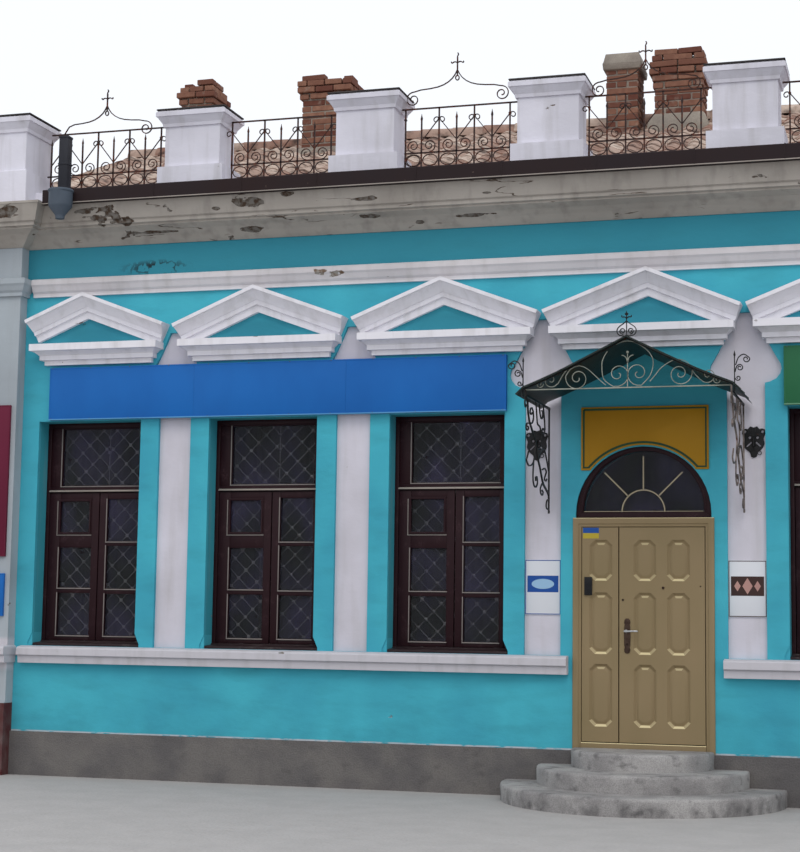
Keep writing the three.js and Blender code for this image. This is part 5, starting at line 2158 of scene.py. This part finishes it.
@dataclass
class Railing:
    """Forged railing between two parapet piers, with or without a crest.

    Attributes:
        bay: its bay, counted from the door.
        number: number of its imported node.
        play: at each end, how far the low rails and the top rail stop short of its outermost bar.
        crest: shift of the ogee crest that stands on it, or None.
        shift: how far its posts stand beside the regular places.
        bent_end: the crest's left end is bent down and has lost its spiral.
    """

    bay: int
    number: int
    play: tuple[Flat, Flat]
    crest: Flat | None = None
    shift: float = 0.0
    bent_end: bool = False
    y: float = 0.335
    low: float = 5.98
    mid: float = 6.13
    top: float = 6.575
    step: float = 0.178
    foot: float = 5.9003
    knot: float = 6.47
    spear: float = 6.45
    root: float = 6.245

    def build(self) -> None:
        """Make the bars, the scrolls, the collars and the crest."""
        x = self.bay * BAY + self.shift
        low, high = local_box(f"railing_{self.number}")
        (left, top_left), (right, top_right) = self.play
        ends = (low.x + left, high.x - right)
        heavy = [[(ends[0], z), (ends[1], z)] for z in (self.low, self.mid)]
        heavy.append([(low.x + top_left, self.top), (high.x - top_right, self.top)])
        light, tips, collars = [], [], []
        for i in range(-4, 5):
            px = x + i * self.step
            if not ends[0] - 0.04 < px < ends[1] + 0.04:
                continue
            px = min(max(px, ends[0] + 0.009), ends[1] - 0.009)
            if i % 2:
                heavy.append([(px, self.foot), (px, self.top + 0.003)])
                collars.append(Spot((px, self.y, self.knot)))
            else:
                heavy.append([(px, self.foot), (px, self.spear)])
                tips.append(Spot((px, self.y, self.spear)))
            light += self.cell(px, i % 2 == 0, ends)
        spear = Shape().turned([(0.006, -0.01), (0.011, 0.012), (0.013, 0.022), (0.006, 0.05),
                                (0.0006, 0.078)], sides=6)
        collar = Shape().box((-0.013, 0.013), (-0.013, 0.013), (-0.009, 0.009))
        parts = [forged(heavy, self.y, 0.015, 0.014), forged(light, self.y, 0.01, 0.009),
                 copied(spear, tips), copied(collar, collars, bevel=0.002)]
        if self.crest:
            parts += self.crest_parts(self.bay * BAY + self.crest[0], self.crest[1])
        settle(merged("railing", parts), f"railing_{self.number}_iron", Looks.RUSTY_IRON,
               replaces=f"railing_{self.number}")

    def cell(self, px: float, short: bool, ends: Flat) -> list[Path]:
        """Scrolls beside one post.

        Args:
            px: the post's place.
            short: the post is a short spear, which carries most of the scrolls.
            ends: where the railing begins and ends.

        Returns:
            Their paths.
        """
        paths = []
        for side in (-1, 1):
            reach = px + side * self.step
            inside = ends[0] < reach < ends[1]
            middle = px + side * self.step / 2
            if short and ends[0] < middle < ends[1]:
                centre = (px + side * 0.082, self.mid + 0.071)
                paths.append(swirl(centre, 0.064, 0.014, -90, side * 560))
                if inside:
                    lean = math.degrees(math.atan2(self.knot - self.root, self.step))
                    paths.append(bent((px, self.root), lean if side > 0 else 180 - lean, [
                        Leg(0, math.hypot(self.step, self.knot - self.root)),
                        Leg(-side * 330, 0.034, 0.012)]))
            if ends[0] < middle < ends[1] and (side > 0 or not ends[0] < px - self.step):
                paths.append(swirl((middle, (self.low + self.mid) / 2), 0.074, 0.074, 90, 360,
                                   0.78))
        return paths

    def crest_parts(self, x: float, rise: float) -> list[Mesh]:
        """Ogee, its end spirals, the finial with its leaf, arms and drop loop.

        Args:
            x: middle of the crest.
            rise: how far it stands above its regular height.

        Returns:
            Its meshes.
        """
        ogee = [(0.0, 6.945), (0.022, 6.9), (0.05, 6.862), (0.09, 6.828), (0.14, 6.801),
                (0.2, 6.783), (0.28, 6.772), (0.37, 6.766), (0.43, 6.752)]
        half = ogee + swirl((0.448, 6.674), 0.074, 0.014, 80, -540)
        other = mirrored(half)
        if self.bent_end:
            other = mirrored(ogee[:-1] + [(0.43, 6.744), (0.46, 6.7), (0.48, 6.668)])
        arm = bent((0.0, 7.01), 55, [Leg(-100, 0.036, 0.026), Leg(200, 0.01, 0.006)])
        loop = swirl((0.0, 6.862), 0.018, 0.018, 90, 360, 1.3)
        tip = bent((0.0, 7.06), 110, [Leg(-60, 0.03, 0.03), Leg(120, 0.018, 0.01)])
        paths = [shifted(p, x, rise) for p in (half, other, arm, mirrored(arm), loop, tip)]
        stem = forged([[(x, 6.89 + rise), (x, 7.07 + rise)]], self.y, 0.014, 0.013)
        return [forged(paths, self.y, 0.012, 0.01), stem]


@dataclass
class Canopy:
    """Folded sheet roof over the door on a wrought iron frame with two wall brackets.

    Attributes:
        middle: how far right of the door's middle it hangs; its shapes are drawn about 0.
    """

    middle: float = 0.02
    front: float = -1.05
    frame_y: float = -1.0
    half: float = 0.885
    rail: float = 3.576
    low: float = 3.52
    apex: float = 4.018
    foot: float = 2.57
    edge: tuple[Flat, ...] = ((0.0, 4.018), (0.15, 3.942), (0.3, 3.868), (0.45, 3.794),
                              (0.6, 3.722), (0.75, 3.657), (0.9, 3.597), (0.965, 3.535))
    scrolls: tuple[tuple[Flat, ...], ...] = (
        ((-0.83, 3.3), (-0.735, 3.319), (-0.688, 3.363), (-0.696, 3.414), (-0.752, 3.448),
         (-0.813, 3.43), (-0.819, 3.396), (-0.771, 3.389), (-0.737, 3.409)),
        ((-0.6, 3.54), (-0.565, 3.452), (-0.542, 3.38), (-0.513, 3.331), (-0.421, 3.318),
         (-0.377, 3.278), (-0.36, 3.2), (-0.43, 3.12), (-0.54, 3.1)),
        ((-0.28, 3.53), (-0.244, 3.452), (-0.213, 3.379), (-0.204, 3.308), (-0.262, 3.27),
         (-0.32, 3.288), (-0.292, 3.316), (-0.241, 3.307)),
        ((-0.83, 3.303), (-0.937, 3.292), (-0.986, 3.252), (-0.935, 3.231), (-0.883, 3.256),
         (-0.93, 3.268)),
        ((-0.88, 3.05), (-0.929, 2.999), (-0.958, 2.964), (-0.867, 2.928), (-0.739, 2.947),
         (-0.658, 2.995), (-0.615, 3.073), (-0.599, 3.16)),
        ((-0.67, 2.99), (-0.695, 2.844), (-0.659, 2.777), (-0.579, 2.76), (-0.51, 2.799),
         (-0.529, 2.854), (-0.585, 2.844), (-0.577, 2.816)),
        ((-0.304, 2.938), (-0.211, 2.96), (-0.13, 2.936), (-0.173, 2.898), (-0.208, 2.861),
         (-0.15, 2.849), (-0.106, 2.871)),
        ((-0.27, 2.83), (-0.379, 2.768), (-0.363, 2.721), (-0.299, 2.709), (-0.263, 2.736),
         (-0.314, 2.753)),
        ((-0.5, 3.03), (-0.3, 3.13), (-0.2, 3.113), (-0.114, 3.045), (-0.03, 2.95)),
        ((-0.012, 2.69), (-0.09, 2.675), (-0.125, 2.64), (-0.11, 2.603), (-0.012, 2.595)),
        ((-1.0, 3.52), (-1.04, 3.47), (-1.02, 3.425), (-0.985, 3.449)),
        ((-0.45, 3.54), (-0.42, 3.45), (-0.36, 3.4), (-0.3, 3.42), (-0.3, 3.47), (-0.35, 3.47)))

    def build(self) -> None:
        """Make the sheet, the frame, the frieze, the finial and the brackets."""
        self.sheet()
        parts = [self.frame_bars(), self.finial(), *self.corner_scrolls(), *self.bracket(-1)]
        self.hang([self.frieze()], "canopy_frieze", Looks.FRIEZE_IRON)
        self.hang(self.bracket(1), "canopy_bracket_right", Looks.WORN_IRON)
        self.hang(parts, "canopy_iron", Looks.BLACK_IRON, "canopy_frame")

    def hang(self, meshes: Sequence[Mesh], name: str, look: Looks,
             replaces: str = "") -> None:
        """Join meshes into one piece about the canopy's middle.

        Args:
            meshes: its parts.
            name: the piece's name.
            look: its finish.
            replaces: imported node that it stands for.
        """
        mesh = merged(name, meshes)
        mesh.transform(Matrix.Translation((self.middle, 0, 0)))
        settle(mesh, name, look, replaces=replaces)

    def outline(self) -> Path:
        """Top line of the sheet, from its left corner to its right one."""
        return mirrored(reversed(self.edge[1:])) + list(self.edge)

    def sheet(self) -> None:
        """Sheet with standing seams, a rolled front edge and folded eaves."""
        top = self.outline()
        under = [(u, v - 0.0045) for u, v in reversed(top)]
        shape = Shape().prism(top + under, (self.front, -GAP))
        for y in (-0.34, -0.69):
            seam = [(u, v + 0.014) for u, v in top] + [(u, v - 0.001) for u, v in reversed(top)]
            shape.prism(seam, (y - 0.003, y + 0.003))
        self.hang([shape.mesh("sheet")], "canopy_sheet", Looks.CANOPY_SHEET, "canopy_roof")
        roll = forged([[(u, v - 0.003) for u, v in top]], self.front - 0.002, 0.014, 0.014)
        self.hang([roll], "canopy_rolled_edge", Looks.CANOPY_SHEET)

    def frame_bars(self) -> Mesh:
        """Bars of the canopy's plan: the gable and the two sides.

        Returns:
            The mesh.
        """
        gable = [(u, v - 0.014) for u, v in self.edge[:-1]]
        gable = mirrored(reversed(gable[1:])) + gable
        front = forged([gable], self.frame_y, 0.014, 0.012)
        sides = [forged([[(self.frame_y, self.low + 0.009), (0.0, self.low + 0.009)]],
                        side * self.half, 0.018, 0.018, Plane.SIDE) for side in (-1, 1)]
        return merged("frame", [front, *sides])

    def frieze(self) -> Mesh:
        """Pale scrolls that stand on the front rail, and the rail itself.

        Returns:
            The mesh.
        """
        scrolls = [
            eased([(-0.104, 0.365), (-0.03, 0.392), (0.05, 0.388), (0.13, 0.345), (0.195, 0.285),
                   (0.226, 0.205), (0.2, 0.095), (0.122, 0.006)])
            + swirl((0.096, 0.113), 0.108, 0.012, -76, -520),
            eased([(-0.17, 0.31), (-0.205, 0.25), (-0.217, 0.19), (-0.2, 0.07), (-0.113, 0.0)])
            + swirl((-0.078, 0.108), 0.108, 0.012, -108, 520),
            [(0.005, 0.0), (0.005, 0.285)],
            eased([(0.005, 0.205), (-0.006, 0.248), (-0.028, 0.268), (-0.046, 0.272)]),
            eased([(0.005, 0.205), (0.016, 0.248), (0.038, 0.268), (0.056, 0.272)]),
            eased([(-0.183, 0.017), (-0.24, 0.066), (-0.278, 0.104), (-0.348, 0.165),
                   (-0.417, 0.19), (-0.487, 0.165), (-0.53, 0.11)])
            + swirl((-0.43, 0.082), 0.104, 0.012, 176, 560),
            eased([(0.196, 0.04), (0.24, 0.09), (0.296, 0.157), (0.383, 0.212), (0.452, 0.222),
                   (0.522, 0.19), (0.556, 0.13)])
            + swirl((0.452, 0.1), 0.104, 0.012, 0, -560),
            eased([(0.539, 0.166), (0.574, 0.1), (0.626, 0.043)])
            + swirl((0.69, 0.082), 0.072, 0.01, -146, 470),
            eased([(-0.52, 0.165), (-0.56, 0.11), (-0.6, 0.04)])
            + swirl((-0.664, 0.072), 0.066, 0.01, -34, -470),
            swirl((0.768, 0.04), 0.034, 0.008, 180, 420),
            swirl((-0.762, 0.04), 0.034, 0.008, 0, -420),
        ]
        base = self.rail + 0.008
        bars = [forged([shifted(path, 0.0, base) for path in scrolls], self.frame_y, 0.012, 0.006),
                forged([[(-self.half, self.rail), (self.half, self.rail)]], self.frame_y, 0.016,
                       0.009)]
        ball = Shape().turned([(0.001, -0.013), (0.01, -0.009), (0.013, 0), (0.01, 0.009),
                               (0.001, 0.013)], sides=10)
        bars.append(copied(ball, [Spot((0.005, self.frame_y, base + 0.297))]))
        return merged("frieze", bars)

    def finial(self) -> Mesh:
        """Heart-shaped frame with two spirals, a stem and a leafy tip.

        Returns:
            The mesh.
        """
        z = self.apex
        heart = eased([(0.0, z + 0.132), (0.03, z + 0.108), (0.07, z + 0.078), (0.083, z + 0.046),
                       (0.068, z + 0.014), (0.03, z + 0.002), (0.0, z + 0.004)], 4)
        curl = swirl((0.033, z + 0.045), 0.028, 0.008, -100, 500)
        sprig = bent((0.0, z + 0.15), 70, [Leg(-90, 0.03, 0.02), Leg(200, 0.009, 0.005)])
        paths = [heart, mirrored(heart), curl, mirrored(curl), sprig, mirrored(sprig),
                 [(0.0, z), (0.0, z + 0.19)]]
        bars = forged(paths, self.front + 0.03, 0.012, 0.008)
        tip = Shape()
        for lean, long in ((-0.55, 0.03), (0.0, 0.045), (0.55, 0.03)):
            c, s = math.cos(lean), math.sin(lean)
            leaf = [(0, 0), (0.008, long * 0.45), (0, long), (-0.008, long * 0.45)]
            tip.prism([(u * c + v * s, z + 0.178 + v * c - u * s) for u, v in leaf],
                      (self.front + 0.026, self.front + 0.034))
        return merged("finial", [bars, tip.mesh("tip")])

    def corner_scrolls(self) -> list[Mesh]:
        """Speared posts at the front corners, with scrolls that turn outward.

        Returns:
            Their meshes.
        """
        parts = []
        base = self.rail + 0.008
        for side in (-1, 1):
            x = side * (self.half + 0.026)
            post = [(x, self.low), (x, base + 0.24)]
            big = 1.0 if side > 0 else 1.2
            arc_out = eased([(0.905, 0.16), (0.93, 0.225), (0.975, 0.25), (1.02, 0.22)])
            upper = arc_out + swirl((0.993, 0.21), 0.03 * big, 0.008, 0, -400)
            lower = eased([(0.9, 0.1), (0.915, 0.15), (0.94, 0.165)]) \
                + swirl((0.94, 0.137), 0.027 * big, 0.008, 80, -420)
            foot = swirl((0.925, 0.05), 0.024, 0.007, 180, 420)
            scrolls = [shifted(path, 0.015, base) for path in (upper, lower, foot)]
            if side < 0:
                scrolls = [mirrored(path) for path in scrolls]
            parts.append(forged([post, *scrolls], self.frame_y, 0.012, 0.0085))
            spear = Shape().turned([(0.005, 0), (0.01, 0.012), (0.006, 0.03), (0.0006, 0.05)],
                                   (x, self.frame_y, base + 0.235), Axis.Z, 8)
            parts.append(spear.mesh("spear"))
        return parts

    def bracket(self, side: int) -> list[Mesh]:
        """Wall bar, bent strut and scrolls of one bracket, across the wall.

        Args:
            side: -1 for the left one, 1 for the right one.

        Returns:
            Its meshes.
        """
        x = side * self.half
        strut = eased([(-1.0, 3.52), (-0.932, 3.482), (-0.914, 3.411), (-0.861, 3.329),
                       (-0.809, 3.29), (-0.688, 3.222), (-0.582, 3.151), (-0.491, 3.02),
                       (-0.412, 2.957), (-0.328, 2.867), (-0.25, 2.81), (-0.14, 2.773),
                       (-0.03, 2.73), (-0.012, 2.66)], 4)
        wall = [(-0.012, self.foot - 0.01), (-0.012, self.low + 0.015)]
        front = [(self.frame_y, self.low), (self.frame_y, self.rail)]
        heavy = forged([strut, wall, front], x, 0.015, 0.015, Plane.SIDE)
        light = forged([eased(knots, 4) for knots in self.scrolls], x, 0.012, 0.011, Plane.SIDE)
        foot = Shape().box((x - 0.009, x + 0.009), (-0.012, 0.0), (self.foot, self.foot + 0.018))
        return [heavy, light, foot.mesh("foot")]


@dataclass
class LionMask:
    """Cast mask of a lion's face, pierced at the ears, the eyes and beside the nose.

    Attributes:
        side: left or right.
    """

    side: str
    middle: float = 3.195
    half_outline: tuple[Flat, ...] = (
        (0, -0.142), (0.024, -0.132), (0.034, -0.095), (0.06, -0.072), (0.078, -0.055),
        (0.094, -0.015), (0.086, 0.035), (0.104, 0.082), (0.098, 0.112), (0.072, 0.122),
        (0.052, 0.118), (0.03, 0.142), (0, 0.132))

    def build(self) -> None:
        """Cast the plate, pierce it and set the relief on it."""
        low, high = local_box(f"lion_mask_{self.side}")
        x, y = (low.x + high.x) / 2, high.y
        z = self.middle
        outline = list(self.half_outline) + mirrored(reversed(self.half_outline[1:-1]))
        plate = Shape().loft([[(x + u * a, y + out, z + v * b) for u, v in outline]
                              for a, b, out in ((1, 1, 0), (1, 1, -0.008), (0.94, 0.96, -0.014))])
        holes, relief = Shape(), Shape()
        for side in (-1, 1):
            for u, v, radius in ((0.078, 0.094, 0.0125), (0.034, 0.04, 0.0115)):
                holes.prism(arc((x + side * u, z + v), radius, 0, 345, 23), (y - 0.03, y + 0.01))
                rim = [(radius + 0.009, -0.012), (radius + 0.007, -0.018), (radius + 0.002, -0.019),
                       (radius, -0.014)]
                relief.loft([[(x + side * u + r * math.cos(a), y + out,
                               z + v + r * math.sin(a)) for r, out in rim]
                             for a in (math.tau * i / 20 for i in range(20))], round_trip=True)
            slit = [(0.016, -0.006), (0.024, 0.004), (0.066, -0.036), (0.056, -0.044)]
            holes.prism([(x + side * u, z + v) for u, v in slit], (y - 0.03, y + 0.01))
            reliefs = [
                (0.023, [(0.006, 0.058), (0.03, 0.074), (0.06, 0.062), (0.056, 0.054),
                         (0.03, 0.062), (0.012, 0.048)]),
                (0.026, [(0.008, -0.042), (0.03, -0.036), (0.046, -0.058), (0.03, -0.08),
                         (0.008, -0.074)]),
                *((0.022, [(0.004 + u, 0.088), (0.02 + u, 0.088), (0.014 + u, 0.128 - drop)])
                  for u, drop in ((0.0, 0.0), (0.017, 0.01), (0.034, 0.02)))]
            for out, path in reliefs:
                relief.prism([(x + side * u, z + v) for u, v in path], (y - out, y - 0.012))
        nose = [(-0.01, 0.046), (0.01, 0.046), (0.012, -0.012), (0.018, -0.034), (0.0, -0.044),
                (-0.018, -0.034), (-0.012, -0.012)]
        relief.loft([[(x + u * a, y + out, z + v) for u, v in nose]
                     for a, out in ((1, -0.012), (1, -0.022), (0.5, -0.034))])
        ring = forged([swirl((x + 0.05, z - 0.098), 0.017, 0.017, 90, 360)], y - 0.012, 0.006,
                      0.006)
        settle(merged("mask", [pierced(plate, holes), relief.mesh("relief"), ring]),
               f"lion_mask_{self.side}_cast", Looks.MASK_IRON,
               replaces=f"lion_mask_{self.side}")


@dataclass
class FloorBoards:
    """Painted boards on the ground floor slab inside."""

    x: Flat = (-6.38, 2.68)
    y: Flat = (0.46, 6.93)
    slab: float = 0.4255
    top: float = 0.45
    wide: float = 0.125

    def build(self) -> None:
        """Lay the boards side by side."""
        board = Shape().box(self.x, (0.001, self.wide - 0.002), (0.0, self.top - self.slab))
        count = int((self.y[1] - self.y[0]) / self.wide)
        spots = [Spot((0.0, self.y[0] + i * self.wide, self.slab)) for i in range(count)]
        settle(copied(board, spots, bevel=0.002), "floor_boards", Looks.FLOOR)


def main() -> None:
    """Build every part of the building and its surroundings."""
    logging.basicConfig(level=logging.INFO, format="%(message)s")
    Site().build()
    dress_masonry()
    parts = [
        Stair(), PierCaps(),
        Chimney(1, -5.795, 0.2, 7.95, gaps=0.3),
        Chimney(2, -4.17, 0.285, 7.9, gaps=0.1, corbels=(0.01, 0.05, 0.05, 0.024), skirt=0.17),
        Chimney(3, -0.69, 0.18, 7.87, cement=True, corbels=(0.0,)),
        Chimney(4, -0.07, 0.262, 7.88, gaps=0.12,
                corbels=(0.004, 0.022, 0.05, 0.05, 0.026, 0.012), skirt=0.28),
        Roof(), RainGoods(),
        *(Window(bay, number) for number, bay in enumerate(WINDOW_BAYS, 1)),
        Door(), Fanlight(), Boards(),
        Railing(-3, 1, ((0.0, 0.038), (0.0, 0.002)), (-0.09, -0.09), bent_end=True),
        Railing(-2, 2, ((0.0, 0.002), (0.028, 0.0))),
        Railing(-1, 3, ((0.028, 0.0), (0.028, 0.0)), (-0.02, 0.0), -0.022),
        Railing(0, 4, ((0.028, 0.0), (0.028, 0.0)), (-0.02, -0.04), -0.034),
        Railing(1, 5, ((0.028, 0.0), (0.0, 0.0))),
        Canopy(), LionMask("left"), LionMask("right"), FloorBoards()]
    for part in parts:
        part.build()


if __name__ == "__main__":
    main()
